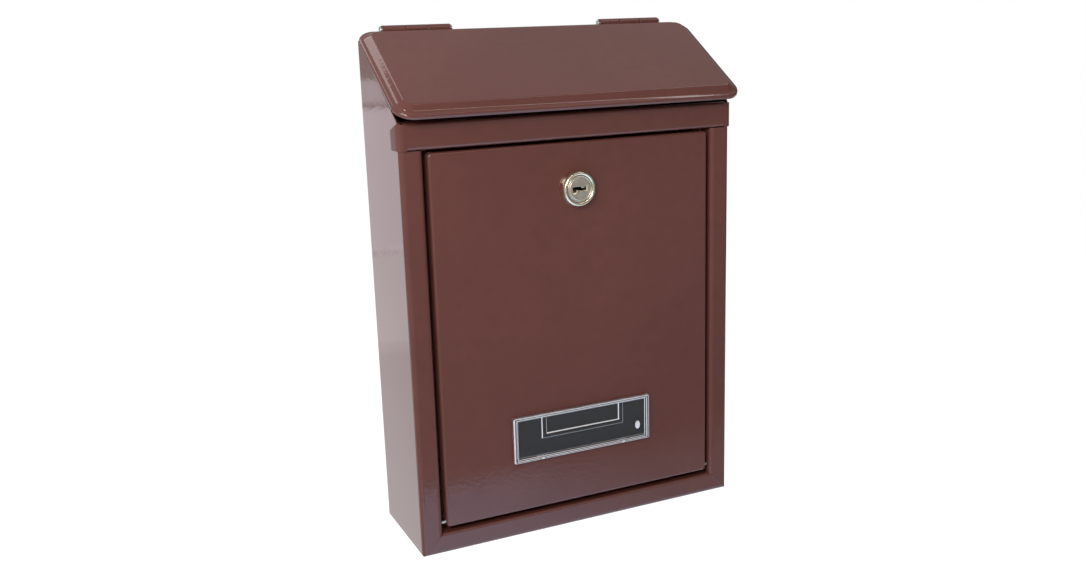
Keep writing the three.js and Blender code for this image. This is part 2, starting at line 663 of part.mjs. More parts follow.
function waferSpring(i) {
  const [radius, wire, turns, length] = [0.42, 0.11, 5, 3.1];
  const section = Array.from({ length: 5 }, (_, k) => {
    const angle = (k / 5) * 2 * Math.PI;
    return [wire * Math.cos(angle), wire * Math.sin(angle)];
  });
  const extrudePath = new Coil(radius, length, turns);
  const made = extrude(section, { steps: turns * 8, extrudePath });
  return solid(made).translate([0.85, waferPlace(i), WAFER_TOP + 0.7]);
}

const lockBack = -BODY.depth + SHEET + 0.05;

function lockWasher() {
  const body = cylinder("Y", 11.2, lockBack, lockBack + 0.6, [0, LOCK.z]);
  return cut(body, cylinder("Y", LOCK.bodyRadius + 0.2, lockBack - 1, lockBack + 2, [0, LOCK.z]));
}

function lockNut() {
  const low = lockBack + 0.7;
  const corner = NUT.acrossFlats / 2 / Math.cos(Math.PI / 6);
  const hexagon = cylinder("Y", corner, low, low + NUT.height, [0, LOCK.z], corner, 6);
  return cut(hexagon, cylinder("Y", LOCK.bodyRadius + 0.06, low - 1, low + 6, [0, LOCK.z]));
}

function doubleDHole(grow = 0.1) {
  const round = cylinder("Y", TAIL.radius + grow, LOCK_REAR - 1, LOCK_REAR + 12, [0, LOCK.z]);
  const flat = TAIL.flat + grow;
  return round.intersect(block([-9, 9], [LOCK_REAR - 2, LOCK_REAR + 14], [LOCK.z - flat, LOCK.z + flat]));
}

// The washer whose tab limits the plug to a quarter turn.
function stopWasher() {
  const [low, high] = [LOCK_REAR + 0.15, LOCK_REAR + 0.15 + STOP.thickness];
  const disc = cylinder("Y", STOP.discRadius, low, high, [0, LOCK.z]);
  const across = [LOCK.z - STOP.tabHalfWidth, LOCK.z + STOP.tabHalfWidth];
  const tab = block([-STOP.tabRadius, -STOP.discRadius + 1], [low, high], across);
  return cut(join(disc, tab), doubleDHole());
}

function lockCam() {
  const low = LOCK_REAR + 1.3;
  const high = low + CAM.thickness;
  const eye = cylinder("Y", CAM.halfWidth, low, high, [0, LOCK.z]);
  const arm = block([0, CAM.length - 3], [low, high], [LOCK.z - CAM.halfWidth, LOCK.z + CAM.halfWidth]);
  const tip = [
    [CAM.length - 3, LOCK.z - CAM.halfWidth],
    [CAM.length, LOCK.z - CAM.halfWidth + 3],
    [CAM.length, LOCK.z + CAM.halfWidth - 3],
    [CAM.length - 3, LOCK.z + CAM.halfWidth],
  ];
  return cut(join(eye, arm, prism("Y", tip, low, high)), doubleDHole());
}

function camScrew() {
  const seat = LOCK_REAR + TAIL.length + 0.05;
  const head = turned([
    [0, seat],
    [4.6, seat],
    [4.6, seat + 1],
    [4, seat + 1.9],
    [2.4, seat + 2.5],
    [0, seat + 2.6],
  ]);
  const slot = (x, z) => block([-x, x], [seat + 1.2, seat + 4], [LOCK.z - z, LOCK.z + z]);
  const shank = cylinder("Y", 1.7, LOCK_REAR - 4.5, seat + 0.5, [0, LOCK.z]);
  return cut(join(head, shank), slot(2.2, 0.45), slot(0.45, 2.2));
}

// ---------------------------------------------------------------- assembly
const assembly = new THREE.Group();
assembly.add(
  part("body_wrap", bodyWrap(), paint),
  part("back_panel", backPanel(), paint),
  part("header_rail", headerRail(), paint),
  part("door_panel", doorPanel(), paint),
  part("nameplate_cover", plateCover(), clear),
  part("nameplate_card", plateCard(), card),
  part("lock_housing", lockHousing(), chrome),
  part("lock_washer", lockWasher(), zinc),
  part("lock_nut", lockNut(), zinc),
  part("lock_plug", lockPlug(), chrome),
  part("lock_stop_washer", stopWasher(), zinc),
  part("lock_cam", lockCam(), zinc),
  part("cam_screw", camScrew(), zinc),
);
for (let i = 0; i < WAFER.count; i++) {
  assembly.add(part(`lock_wafer_${i + 1}`, lockWafer(i), brass));
  assembly.add(part(`wafer_spring_${i + 1}`, waferSpring(i), zinc));
}

const lid = new THREE.Group();
lid.position.set(0, HINGE.y, HINGE.z);
lid.rotation.x = LID.slope;
lid.add(part("lid_shell", lidShell(), paint));
for (const [label, side] of [["left", -1], ["right", 1]]) {
  const x = side * HINGE.x;
  lid.add(part(`lid_hinge_${label}_lid_leaf`, lidLeaf(x), paint));
  assembly.add(part(`lid_hinge_${label}_wall_leaf`, fixedLeaf(x), paint));
  assembly.add(part(`lid_hinge_${label}_pin`, hingePin(x), zinc));
  assembly.add(part(`door_pin_${label}`, doorPin(side), zinc));
}
assembly.add(lid);
assembly.position.z = -WALL_FACE_HEIGHT;

const mailbox = new THREE.Group();
mailbox.add(assembly);

export default mailbox;
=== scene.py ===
"""Looks of a wall-mounted sheet-steel mailbox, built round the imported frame.

Shapes are drawn in millimetres with z = 0 at the underside of the box and y = 0 at the wall, then put
into the row frame in metres.
"""

import json
import math

import bmesh
import bpy
from mathutils import Matrix, Vector


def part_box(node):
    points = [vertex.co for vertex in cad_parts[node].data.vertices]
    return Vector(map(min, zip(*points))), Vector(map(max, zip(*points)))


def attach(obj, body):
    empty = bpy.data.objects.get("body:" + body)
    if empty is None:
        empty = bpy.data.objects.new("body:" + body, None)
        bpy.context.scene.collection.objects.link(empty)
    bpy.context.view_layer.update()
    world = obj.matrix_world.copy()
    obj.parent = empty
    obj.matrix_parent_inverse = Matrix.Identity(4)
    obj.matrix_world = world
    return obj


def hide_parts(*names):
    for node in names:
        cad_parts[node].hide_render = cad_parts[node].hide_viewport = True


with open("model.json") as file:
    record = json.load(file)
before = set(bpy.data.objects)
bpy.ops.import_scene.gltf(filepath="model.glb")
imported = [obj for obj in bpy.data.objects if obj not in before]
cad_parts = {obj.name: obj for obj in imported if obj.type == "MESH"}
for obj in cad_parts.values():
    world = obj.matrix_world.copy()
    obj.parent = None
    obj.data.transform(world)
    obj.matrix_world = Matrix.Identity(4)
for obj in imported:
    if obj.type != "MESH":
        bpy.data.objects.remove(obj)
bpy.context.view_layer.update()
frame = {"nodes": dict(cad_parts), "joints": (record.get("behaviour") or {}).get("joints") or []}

MM = 0.001
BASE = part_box("body_wrap")[0][2] / MM


def extent(node):
    """A CAD node's spans along x, y and z, in the drawing's millimetres."""
    low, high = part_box(node)
    x, y, z = [(low[i] / MM, high[i] / MM) for i in range(3)]
    return x, y, (z[0] - BASE, z[1] - BASE)


def joint_axis(name):
    """The place of a joint's axis in the drawing's millimetres."""
    place = next(joint["pos_m"] for joint in frame["joints"] if joint["name"] == name)
    return Vector((place[0] / MM, place[1] / MM, place[2] / MM - BASE))


# ---------------------------------------------------------------- driving dimensions
SHEET = 0.8
WELD_GAP = 0.1

BODY_X, BODY_Y, BODY_Z = extent("body_wrap")
BODY_HALF = BODY_X[1]
FRONT = BODY_Y[0]
WALL_TOP_FRONT = 257.8
WALL_TOP_REAR = BODY_Z[1]
BODY_EDGE = 3.0
BODY_CORNER = 2.4
MITRE_SLIT = 0.3
BEAD = {"radius": 0.42, "sink": 0.3, "end": 2.2}

OPENING = {
    "half": 93.9,
    "bottom": 12.9,
    "top": 242.7,
    "lip": 10.9,
    "ledge": 6.0,
    "lip_radius": 3.0,
    "sill_radius": 1.3,
}
HEADER_TOP = extent("header_rail")[2][1]
HEADER = {"top_return": 12.0, "strike_return": 16.2, "tab": 11.0, "edge": 2.2, "splay": 0.45}
PANEL_X, PANEL_Y, PANEL_Z = extent("back_panel")
KEYHOLE = {"x": 72.0, "z": 218.0, "entry": 5.0, "slot": 2.7, "length": 10.0}
SCREW_HOLE = {"x": 72.0, "z": 30.0, "radius": 3.0}

DOOR_X, DOOR_Y, DOOR_Z = extent("door_panel")
DOOR_EDGE = 1.8
DOOR_CORNER = 2.2
DOOR_PIVOT = joint_axis("door_hinge")
PIN_RADIUS = 0.95
PIN_HEAD = 1.5

HINGE_AXIS = joint_axis("lid_hinge")
LID_SLOPE = math.radians(32.3)
LID_HALF = extent("lid_shell")[0][1]
LID = {
    "length": 84.7,
    "rear_gap": 3.55,
    "drop": 0.3,
    "corner": 11.0,
    "skirt": 2.5,
    "rise": 3.5,
    "flange": 7.6,
    "inset": 0.17,  # keeps the smooth rim inside the frame's faceted one
}
HINGE = {
    "x": 72.3,
    "length": 43.2,
    "sheet": 1.0,
    "barrel": 2.7,
    "pin": 1.66,
    "gap": 0.5,
    "wall": 24.0,
    "lid": 26.0,
}

PLATE_X, PLATE_Y, PLATE_Z = extent("nameplate_cover")
PLATE_RIM = 2.6
PLATE_RIM_ACROSS = 0.62  # the upper and lower rims' width over the side rims'
PLATE_CORNER = 0.9
TONGUE = {"half": 28.0, "bar": 3.0, "bottom": 62.0, "sill": 64.8, "front": 0.5, "back": 1.3}
CLIP = {"x": 28.0, "inset": 1.3, "half": 3.0, "thick": 0.6, "barb": 0.55}
PIP_AND_GLINT_DEPTH = 0.9
# moulding marks, painted white as painted light, and one oval bump at 38.8, 58.4 that is a painted reflection
# of a lamp: x, z, half width, half height, depth behind the cover's face
PIPS_AND_PAINTED_GLINT = [(38.8, 58.4, 1.5, 2.4, 0.45), (-28.0, 49.4, 1.2, 0.6, -0.3), (28.0, 49.4, 1.2, 0.6, -0.3)]
CARD_X, CARD_Y, CARD_Z = extent("nameplate_card")

LOCK_Z = joint_axis("lock_turn").z
LOCK_FACE = extent("lock_housing")[1][0]
LOCK_REAR = FRONT + SHEET + 16.0
BEZEL_RADIUS = extent("lock_housing")[0][1]
BEZEL = {"crest": 9.3, "roll": 1.2, "foot": 0.8, "steps": 12}
PLUG_FACE_RADIUS = 7.9
PLUG_RADIUS = 5.7
KEYWAY_MOUTH = {"wide": 1.14, "high": 1.5, "depth": 0.7}
LOCK_BODY = {"radius": 9.2, "flat": 7.8, "thread_depth": 0.35, "thread_pitch": 1.25}

BEND_STEPS = 8
ROUND_STEPS = 64
EDGE_WIDTH = 0.16
CREASE = math.radians(31)


# ---------------------------------------------------------------- outlines
def arc(centre, radius, start, turn, steps):
    """Points on an arc, angles in degrees."""
    angles = [math.radians(start + turn * k / steps) for k in range(steps + 1)]
    return [(centre[0] + radius * math.cos(a), centre[1] + radius * math.sin(a)) for a in angles]


def filleted(corners, radii):
    """A line through corners with an arc at each bend."""
    points = [Vector(corner) for corner in corners]
    line = [points[0]]
    for i in range(1, len(points) - 1):
        back = (points[i - 1] - points[i]).normalized()
        ahead = (points[i + 1] - points[i]).normalized()
        turn = math.pi - back.angle(ahead)
        radius = radii[i - 1]
        side = math.copysign(1, back.cross(ahead))
        centre = points[i] + (back + ahead).normalized() * radius / math.cos(turn / 2)
        start = points[i] + back * radius * math.tan(turn / 2) - centre
        steps = max(2, round(BEND_STEPS * turn / (math.pi / 2)))
        for k in range(steps + 1):
            line.append(centre + Matrix.Rotation(-side * turn * k / steps, 2) @ start)
    line.append(points[-1])
    return line


def sheet_outline(corners, radii, thickness=SHEET):
    """The closed outline of a folded sheet, from its middle line."""
    if not isinstance(radii, (list, tuple)):
        radii = [radii] * (len(corners) - 2)
    line = filleted(corners, radii)
    sides = ([], [])
    for i, point in enumerate(line):
        after = (line[i + 1] - point).normalized() if i + 1 < len(line) else None
        before = (point - line[i - 1]).normalized() if i else after
        along = (before + (after or before)).normalized()
        reach = thickness / 2 / max(0.5, along.dot(before))
        normal = Vector((-along.y, along.x))
        sides[0].append(point + normal * reach)
        sides[1].append(point - normal * reach)
    return sides[0] + sides[1][::-1]


def rounded_rectangle(half_x, half_y, radius, steps=BEND_STEPS):
    points = []
    for quarter, (sx, sy) in enumerate([(1, 1), (-1, 1), (-1, -1), (1, -1)]):
        centre = (sx * (half_x - radius), sy * (half_y - radius))
        points += arc(centre, radius, 90 * quarter, 90, steps)
    return points


# ---------------------------------------------------------------- solids
def solid(vertices, faces):
    """A closed mesh object with its faces pointing out."""
    mesh = bpy.data.meshes.new("solid")
    mesh.from_pydata([tuple(v) for v in vertices], [], faces)
    shape = bmesh.new()
    shape.from_mesh(mesh)
    bmesh.ops.remove_doubles(shape, verts=shape.verts, dist=1e-5)
    bmesh.ops.recalc_face_normals(shape, faces=shape.faces)
    shape.to_mesh(mesh)
    shape.free()
    item = bpy.data.objects.new("solid", mesh)
    bpy.context.scene.collection.objects.link(item)
    return item


def prism(axis, outline, low, high):
    """An (y, z) outline along X, an (x, z) outline along Y or an (x, y) outline along Z."""
    place = {
        "X": lambda a, b, t: (t, a, b),
        "Y": lambda a, b, t: (a, t, b),
        "Z": lambda a, b, t: (a, b, t),
    }[axis]
    count = len(outline)
    vertices = [place(a, b, level) for level in (low, high) for a, b in outline]
    sides = [(i, (i + 1) % count, count + (i + 1) % count, count + i) for i in range(count)]
    return solid(vertices, sides + [list(range(count)), list(range(count, 2 * count))])


def block(x, y, z):
    return prism("Z", [(x[0], y[0]), (x[1], y[0]), (x[1], y[1]), (x[0], y[1])], *z)


def cylinder(axis, radius, low, high, centre=(0, 0), steps=ROUND_STEPS):
    return prism(axis, arc(centre, radius, 0, 360, steps)[:-1], low, high)


def turned(profile, y_axis_z, steps=ROUND_STEPS * 2):
    """A piece turned about a line along Y at height y_axis_z, from a closed (radius, y) profile."""
    vertices = []
    for k in range(steps):
        angle = 2 * math.pi * k / steps
        vertices += [(r * math.sin(angle), y, y_axis_z + r * math.cos(angle)) for r, y in profile]
    count = len(profile)
    faces = []
    for k in range(steps):
        for i in range(count):
            j = (i + 1) % count
            if profile[i][0] == 0 and profile[j][0] == 0:
                continue
            this, following = k * count, (k + 1) % steps * count
            faces.append([this + i, following + i, following + j, this + j])
    return solid(vertices, faces)


def combine(item, tool, operation):
    modifier = item.modifiers.new("combine", "BOOLEAN")
    modifier.operation = operation
    modifier.solver = "MANIFOLD"
    modifier.object = tool
    graph = bpy.context.evaluated_depsgraph_get()
    made = bpy.data.meshes.new_from_object(item.evaluated_get(graph))
    item.modifiers.clear()
    item.data = made
    bpy.data.objects.remove(tool)
    return item


def join(item, *others):
    for other in others:
        combine(item, other, "UNION")
    return item


def cut(item, *tools):
    for tool in tools:
        combine(item, tool, "DIFFERENCE")
    return item


def ring_body(rings, half_x, half_y, corner, steps=BEND_STEPS, sharper=1.0, across=1.0):
    """A closed body through rounded-rectangle rings of (inset, height), capped at both ends.

    across scales the inset of the upper and lower edges."""
    vertices = []
    for inset, height in rings:
        radius = max(0.3, corner - inset * sharper)
        outline = rounded_rectangle(half_x - inset, half_y - inset * across, radius, steps)
        vertices += [(x, y, height) for x, y in outline]
    count = len(vertices) // len(rings)
    faces = [list(range(count)), list(range((len(rings) - 1) * count, len(rings) * count))]
    for ring in range(len(rings) - 1):
        for i in range(count):
            j = (i + 1) % count
            a, b = ring * count, (ring + 1) * count
            faces.append([a + i, a + j, b + j, b + i])
    return solid(vertices, faces)


def moved(item, matrix):
    item.data.transform(matrix)
    return item


# ---------------------------------------------------------------- finished pieces
def finish_piece(item, name, material, body, nodes, edge=EDGE_WIDTH):
    """Puts a drawn solid into the row frame, rounds its edges and ties it to its body."""
    shape = bmesh.new()
    shape.from_mesh(item.data)
    bmesh.ops.remove_doubles(shape, verts=shape.verts, dist=2e-4)
    bmesh.ops.dissolve_limit(
        shape, angle_limit=math.radians(0.4), verts=shape.verts, edges=shape.edges, delimit={"MATERIAL"}
    )
    shape.to_mesh(item.data)
    shape.free()
    item.data.transform(Matrix.Scale(MM, 4) @ Matrix.Translation((0, 0, BASE)))
    item.data.polygons.foreach_set("use_smooth", [True] * len(item.data.polygons))
    item.name = name
    item.data.name = name
    item.data.materials.clear()
    for each in material if isinstance(material, list) else [material]:
        item.data.materials.append(each)
    if edge:
        bevel = item.modifiers.new("edges", "BEVEL")
        bevel.width = edge * MM
        bevel.segments = 2
        bevel.limit_method = "ANGLE"
        bevel.angle_limit = CREASE
        bevel.use_clamp_overlap = False
    else:
        item.data.set_sharp_from_angle(angle=CREASE)
    item.modifiers.new("normals", "WEIGHTED_NORMAL").keep_sharp = not edge
    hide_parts(*nodes)
    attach(item, body)
    return item


# ---------------------------------------------------------------- materials
class Graph:
    """Shader nodes of one material."""

    def __init__(self, name):
        self.material = bpy.data.materials.new(name)
        self.material.use_nodes = True
        self.nodes = self.material.node_tree.nodes
        self.links = self.material.node_tree.links
        self.shader = self.nodes["Principled BSDF"]
        self.place = self.nodes.new("ShaderNodeTexCoord").outputs["Object"]

    def link(self, value, socket):
        """Joins an output to a socket, or sets the socket's value."""
        if isinstance(value, bpy.types.NodeSocket):
            self.links.new(value, socket)
        else:
            socket.default_value = value

    def set(self, **inputs):
        for name, value in inputs.items():
            self.link(value, self.shader.inputs[name.replace("_", " ")])

    def noise(self, scale, detail=3.0, roughness=0.55, stretch=None):
        node = self.nodes.new("ShaderNodeTexNoise")
        node.inputs["Scale"].default_value = scale
        node.inputs["Detail"].default_value = detail
        node.inputs["Roughness"].default_value = roughness
        place = self.place
        if stretch:
            mapping = self.nodes.new("ShaderNodeMapping")
            mapping.inputs["Scale"].default_value = stretch
            self.link(self.place, mapping.inputs["Vector"])
            place = mapping.outputs["Vector"]
        self.link(place, node.inputs["Vector"])
        return node.outputs["Fac"]

    def cells(self, scale):
        node = self.nodes.new("ShaderNodeTexVoronoi")
        node.inputs["Scale"].default_value = scale
        self.link(self.place, node.inputs["Vector"])
        return node.outputs["Distance"]

    def remap(self, value, low, high, to_low=0.0, to_high=1.0):
        node = self.nodes.new("ShaderNodeMapRange")
        for name, number in (("From Min", low), ("From Max", high), ("To Min", to_low), ("To Max", to_high)):
            node.inputs[name].default_value = number
        self.link(value, node.inputs["Value"])
        return node.outputs["Result"]

    def math(self, operation, a, b):
        node = self.nodes.new("ShaderNodeMath")
        node.operation = operation
        self.link(a, node.inputs[0])
        self.link(b, node.inputs[1])
        return node.outputs["Value"]

    def mix(self, factor, a, b):
        node = self.nodes.new("ShaderNodeMix")
        node.data_type = "RGBA"
        self.link(factor, node.inputs["Factor"])
        self.link(a, node.inputs[6])
        self.link(b, node.inputs[7])
        return node.outputs[2]

    def bump(self, height, distance, strength=1.0, normal=None):
        node = self.nodes.new("ShaderNodeBump")
        node.inputs["Strength"].default_value = strength
        node.inputs["Distance"].default_value = distance
        self.link(height, node.inputs["Height"])
        if normal:
            self.link(normal, node.inputs["Normal"])
        return node.outputs["Normal"]


def tint(red, green, blue):
    """A colour from 0-255 display values."""
    linear = [((c / 255 + 0.055) / 1.055) ** 2.4 if c > 10 else c / 255 / 12.92 for c in (red, green, blue)]
    return (*linear, 1.0)


def enamel():
    """Glossy dark-brown stoved enamel: slight orange peel, dust nibs and a softly uneven sheet under it."""
    g = Graph("brown_enamel")
    cloud = g.noise(9.0, 4.0)
    mottle = g.noise(140.0, 3.0)
    base = g.mix(g.remap(cloud, 0.35, 0.65), tint(96, 53, 45), tint(103, 58, 50))
    base = g.mix(g.remap(mottle, 0.3, 0.7, 0.0, 0.35), base, tint(88, 48, 42))
    nib = g.remap(g.cells(260.0), 0.045, 0.02)
    scarce = g.remap(g.noise(55.0, 2.0), 0.68, 0.74)
    speck = g.math("MULTIPLY", nib, scarce)
    base = g.mix(speck, base, tint(150, 118, 112))
    rough = g.remap(g.noise(60.0, 4.0), 0.3, 0.7, 0.045, 0.085)
    sheet = g.bump(g.noise(11.0, 1.0), 0.0022, 0.12)
    peel = g.bump(g.noise(420.0, 2.0), 0.00005, 0.6, sheet)
    dust = g.bump(speck, 0.00008, 0.8, peel)
    g.set(Base_Color=base, Roughness=rough, IOR=1.5, Normal=dust)
    return g.material


def chrome(name, low, high, rough):
    """Plated metal with faint polishing marks and a few dull spots."""
    g = Graph(name)
    cloud = g.noise(170.0, 4.0)
    base = g.mix(g.remap(cloud, 0.3, 0.7), low, high)
    scratch = g.noise(900.0, 4.0, stretch=(1.0, 1.0, 0.12))
    marks = g.remap(scratch, 0.35, 0.65, rough, rough + 0.08)
    g.set(Base_Color=base, Metallic=1.0, Roughness=marks, Normal=g.bump(scratch, 0.00002, 0.5))
    return g.material


def zinc():
    """Bright zinc plate with a faint spangle."""
    g = Graph("zinc_plate")
    spangle = g.cells(420.0)
    base = g.mix(g.remap(spangle, 0.1, 0.7), tint(176, 180, 186), tint(214, 214, 208))
    rough = g.remap(g.noise(300.0, 4.0), 0.3, 0.7, 0.24, 0.42)
    g.set(Base_Color=base, Metallic=1.0, Roughness=rough, Normal=g.bump(spangle, 0.00003, 0.4))
    return g.material


def brass():
    g = Graph("stamped_brass")
    base = g.mix(g.noise(400.0, 3.0), tint(176, 146, 84), tint(206, 178, 116))
    rough = g.remap(g.noise(700.0, 3.0), 0.3, 0.7, 0.22, 0.4)
    g.set(Base_Color=base, Metallic=1.0, Roughness=rough)
    return g.material


def clear_plastic():
    """Thin clear moulded plastic with slight flow lines and fine scuffs."""
    g = Graph("clear_plastic")
    flow = g.noise(26.0, 2.0, stretch=(0.35, 1.0, 1.6))
    scuff = g.remap(g.noise(500.0, 5.0), 0.55, 0.75, 0.03, 0.1)
    base = g.mix(flow, tint(58, 56, 55), tint(72, 70, 69))
    g.set(Base_Color=base, Roughness=scuff, IOR=1.49, Normal=g.bump(flow, 0.0004, 0.08))
    g.set(Alpha=0.26)
    return g.material


def hazed_plastic():
    """The clear plastic's raised rim, thicker and slightly grey."""
    g = Graph("hazed_plastic")
    flow = g.noise(120.0, 3.0)
    base = g.mix(flow, tint(82, 76, 77), tint(112, 104, 106))
    rough = g.remap(flow, 0.3, 0.7, 0.15, 0.3)
    g.set(Base_Color=base, Roughness=rough, IOR=1.49, Alpha=0.4)
    return g.material


def painted_light_edge_material():
    """Painted light: flat white on the clear plastic's edges, steps and pips, standing in for the light they
    pipe out, which makes them look white.
    """
    g = Graph("clear_plastic_painted_light")
    flow = g.noise(300.0, 3.0)
    base = g.mix(flow, tint(206, 198, 196), tint(240, 234, 232))
    rough = g.remap(flow, 0.3, 0.7, 0.12, 0.3)
    g.set(Base_Color=base, Roughness=rough, IOR=1.49)
    return g.material


def card_stock():
    """Dark uncoated card behind the window."""
    g = Graph("dark_card")
    fibre = g.noise(900.0, 5.0, stretch=(1.0, 1.0, 0.4))
    cloud = g.noise(45.0, 3.0)
    base = g.mix(g.remap(cloud, 0.3, 0.7), tint(44, 42, 41), tint(58, 53, 52))
    base = g.mix(g.remap(fibre, 0.4, 0.8, 0.0, 0.25), base, tint(66, 62, 61))
    g.set(Base_Color=base, Roughness=g.remap(cloud, 0.3, 0.7, 0.5, 0.7), Normal=g.bump(fibre, 0.00002, 0.25))
    return g.material


ENAMEL = enamel()
CHROME = chrome("bright_chrome", tint(222, 204, 178), tint(236, 220, 196), 0.2)
PLUG_METAL = chrome("satin_chrome", tint(208, 192, 170), tint(224, 210, 190), 0.32)
ZINC = zinc()
BRASS = brass()
CLEAR = clear_plastic()
# painted light: white standing in for the light piped out of the clear plastic's edges
CLEAR_EDGE_PAINTED_LIGHT = painted_light_edge_material()
HAZED = hazed_plastic()
CARD = card_stock()


# ---------------------------------------------------------------- body
def wall_top(y):
    rise = (WALL_TOP_REAR - WALL_TOP_FRONT) / (-FRONT - 1)
    return WALL_TOP_FRONT + (y - FRONT - 1) * rise


def above_walls(lift=0.0):
    """The space over the side walls' sloping top edges."""
    outline = [
        (FRONT - 5, 400),
        (FRONT - 5, WALL_TOP_FRONT + lift),
        (FRONT + 1, WALL_TOP_FRONT + lift),
        (5, wall_top(5) + lift),
        (5, 400),
    ]
    return prism("X", outline, -400, 400)


def body_fill(grow):
    """The body's outline from the front, grown by an amount: straight sides, rounded lower corners."""
    radius = BODY_CORNER + grow
    edge = BODY_HALF + grow
    right = arc((edge - radius, radius - grow), radius, -90, 90, BEND_STEPS)
    left = [(-x, z) for x, z in reversed(right)]
    return prism("Y", right + [(edge, 330), (-edge, 330)] + left, FRONT - 5, 5)


def mitre_line(side, shift):
    """The mitre at a lower front corner, moved towards the side walls by an amount."""
    outer = (side * (BODY_HALF + shift), -shift)
    inner = (side * (OPENING["half"] + shift), OPENING["bottom"] - shift)
    return outer, inner


def ordered(a, b):
    return (min(a, b), max(a, b))


def body_side(side):
    """Wall, front flange, lip round the opening and the ledge behind the door."""
    wall = side * (BODY_HALF - SHEET / 2)
    front = FRONT + SHEET / 2
    lip = side * (OPENING["half"] + SHEET / 2)
    ledge = (lip - side * OPENING["ledge"], front + OPENING["lip"])
    corners = [(wall, 0), (wall, front), (lip, front), (lip, ledge[1]), ledge]
    radii = [BODY_EDGE - SHEET / 2, OPENING["lip_radius"] - SHEET / 2, 1.0]
    column = prism("Z", sheet_outline(corners, radii), 0, 320)
    low, high = mitre_line(side, MITRE_SLIT / 2)
    inner = side * (OPENING["half"] - 20)
    below = prism("Y", [(low[0], -5), low, high, (inner, high[1]), (inner, -5)], FRONT - 5, 5)
    flange_top = block((-200, 200), (FRONT - 5, FRONT + 1.3), (HEADER_TOP - 2.6, 330))
    lip_top = block(ordered(side * 80, side * (BODY_HALF - 2)), (FRONT - 5, -50), (OPENING["top"] - 0.3, 330))
    return cut(column, below, above_walls(), flange_top, lip_top)


def body_bottom():
    floor = SHEET / 2
    front = FRONT + SHEET / 2
    lip = OPENING["bottom"] - SHEET / 2
    corners = [(0, floor), (front, floor), (front, lip), (front + OPENING["lip"] - 2, lip)]
    radii = [BODY_EDGE - SHEET / 2, OPENING["sill_radius"] - SHEET / 2]
    strip = prism("X", sheet_outline(corners, radii), -BODY_HALF, BODY_HALF)
    for side in (-1, 1):
        low, high = mitre_line(side, -MITRE_SLIT / 2)
        outer = side * (BODY_HALF + 5)
        outline = [(outer, -5), (low[0], -5), low, high, (high[0], high[1] + 5), (outer, high[1] + 5)]
        cut(strip, prism("Y", outline, FRONT - 5, 5))
    return strip


def mitre_bead(side):
    """A low weld bead that closes the mitre of the front flanges."""
    (low_x, low_z), (high_x, high_z) = mitre_line(side, 0)
    along = Vector((high_x - low_x, 0, high_z - low_z))
    bead = cylinder("X", BEAD["radius"], BEAD["end"], along.length - BEAD["end"], steps=16)
    turn = along.to_track_quat("X", "Y").to_matrix().to_4x4()
    return moved(bead, Matrix.Translation((low_x, FRONT + BEAD["sink"], low_z)) @ turn)


def body_wrap():
    bends = block((-BODY_HALF, BODY_HALF), (FRONT + BODY_EDGE, 0), (0, 6))
    cut(bends, body_fill(-SHEET))
    folded = join(body_side(-1), body_side(1), body_bottom(), bends)
    combine(folded, body_fill(0), "INTERSECT")
    cut(folded, cylinder("X", PIN_RADIUS + 0.08, -100, 100, DOOR_PIVOT.yz))
    return join(folded, mitre_bead(-1), mitre_bead(1))


def keyhole(x):
    z, slot, length = KEYHOLE["z"], KEYHOLE["slot"], KEYHOLE["length"]
    entry = cylinder("Y", KEYHOLE["entry"], -5, 5, (x, z))
    upper = cylinder("Y", slot, -5, 5, (x, z + length))
    return join(entry, block((x - slot, x + slot), (-5, 5), (z, z + length)), upper)


def back_panel():
    edge = PANEL_X[1] - SHEET / 2
    rear = -SHEET / 2
    tray = [(-edge, PANEL_Y[0]), (-edge, rear), (edge, rear), (edge, PANEL_Y[0])]
    above_flanges = cut(above_walls(-2), block((-200, 200), (-SHEET, 10), (0, 400)))
    plate = cut(prism("Z", sheet_outline(tray, 1.2), *PANEL_Z), above_flanges)
    join(plate, block((-100, 100), (-8, -SHEET / 2), (PANEL_Z[0], PANEL_Z[0] + SHEET)))
    for side in (-1, 1):
        screw = (side * SCREW_HOLE["x"], SCREW_HOLE["z"])
        cut(plate, keyhole(side * KEYHOLE["x"]), cylinder("Y", SCREW_HOLE["radius"], -5, 5, screw))
    return combine(plate, body_fill(-SHEET - 2 * WELD_GAP), "INTERSECT")


def header_rail():
    face = FRONT - WELD_GAP - SHEET / 2
    wall = BODY_HALF + WELD_GAP + SHEET / 2
    low, high = OPENING["top"] + SHEET / 2, HEADER_TOP - SHEET / 2
    channel = [
        (face + HEADER["top_return"], high),
        (face, high),
        (face, low),
        (face + HEADER["strike_return"], low),
    ]
    bend = HEADER["edge"] - SHEET / 2
    rail = prism("X", sheet_outline(channel, bend), -wall + 4, wall - 4)
    corner = BODY_EDGE + WELD_GAP + SHEET / 2
    for side in (-1, 1):
        beyond = ordered(side * (OPENING["half"] - 0.2), side * 130)
        cut(rail, block(beyond, (FRONT + 1, 0), (OPENING["top"] - 1, OPENING["top"] + 1.2)))
        tab_end = (side * (wall + HEADER["splay"]), face + HEADER["tab"])
        turn = [(side * (wall - 5), face), (side * wall, face), tab_end]
        tab = prism("Z", sheet_outline(turn, corner), OPENING["top"], HEADER_TOP)
        clipped = [
            (face - 1, HEADER_TOP + 1),
            (face - 1, HEADER_TOP - 0.6),
            (face + 2, HEADER_TOP - 0.6),
            (face + HEADER["tab"] + 1, HEADER_TOP - 4.6),
            (face + HEADER["tab"] + 1, HEADER_TOP + 1),
        ]
        join(rail, cut(tab, prism("X", clipped, *ordered(side * (wall - 6), side * 120))))
    return rail


# ---------------------------------------------------------------- lid, drawn flat about the hinge axis
LID_TO_BOX = Matrix.Translation(HINGE_AXIS) @ Matrix.Rotation(LID_SLOPE, 4, "X")


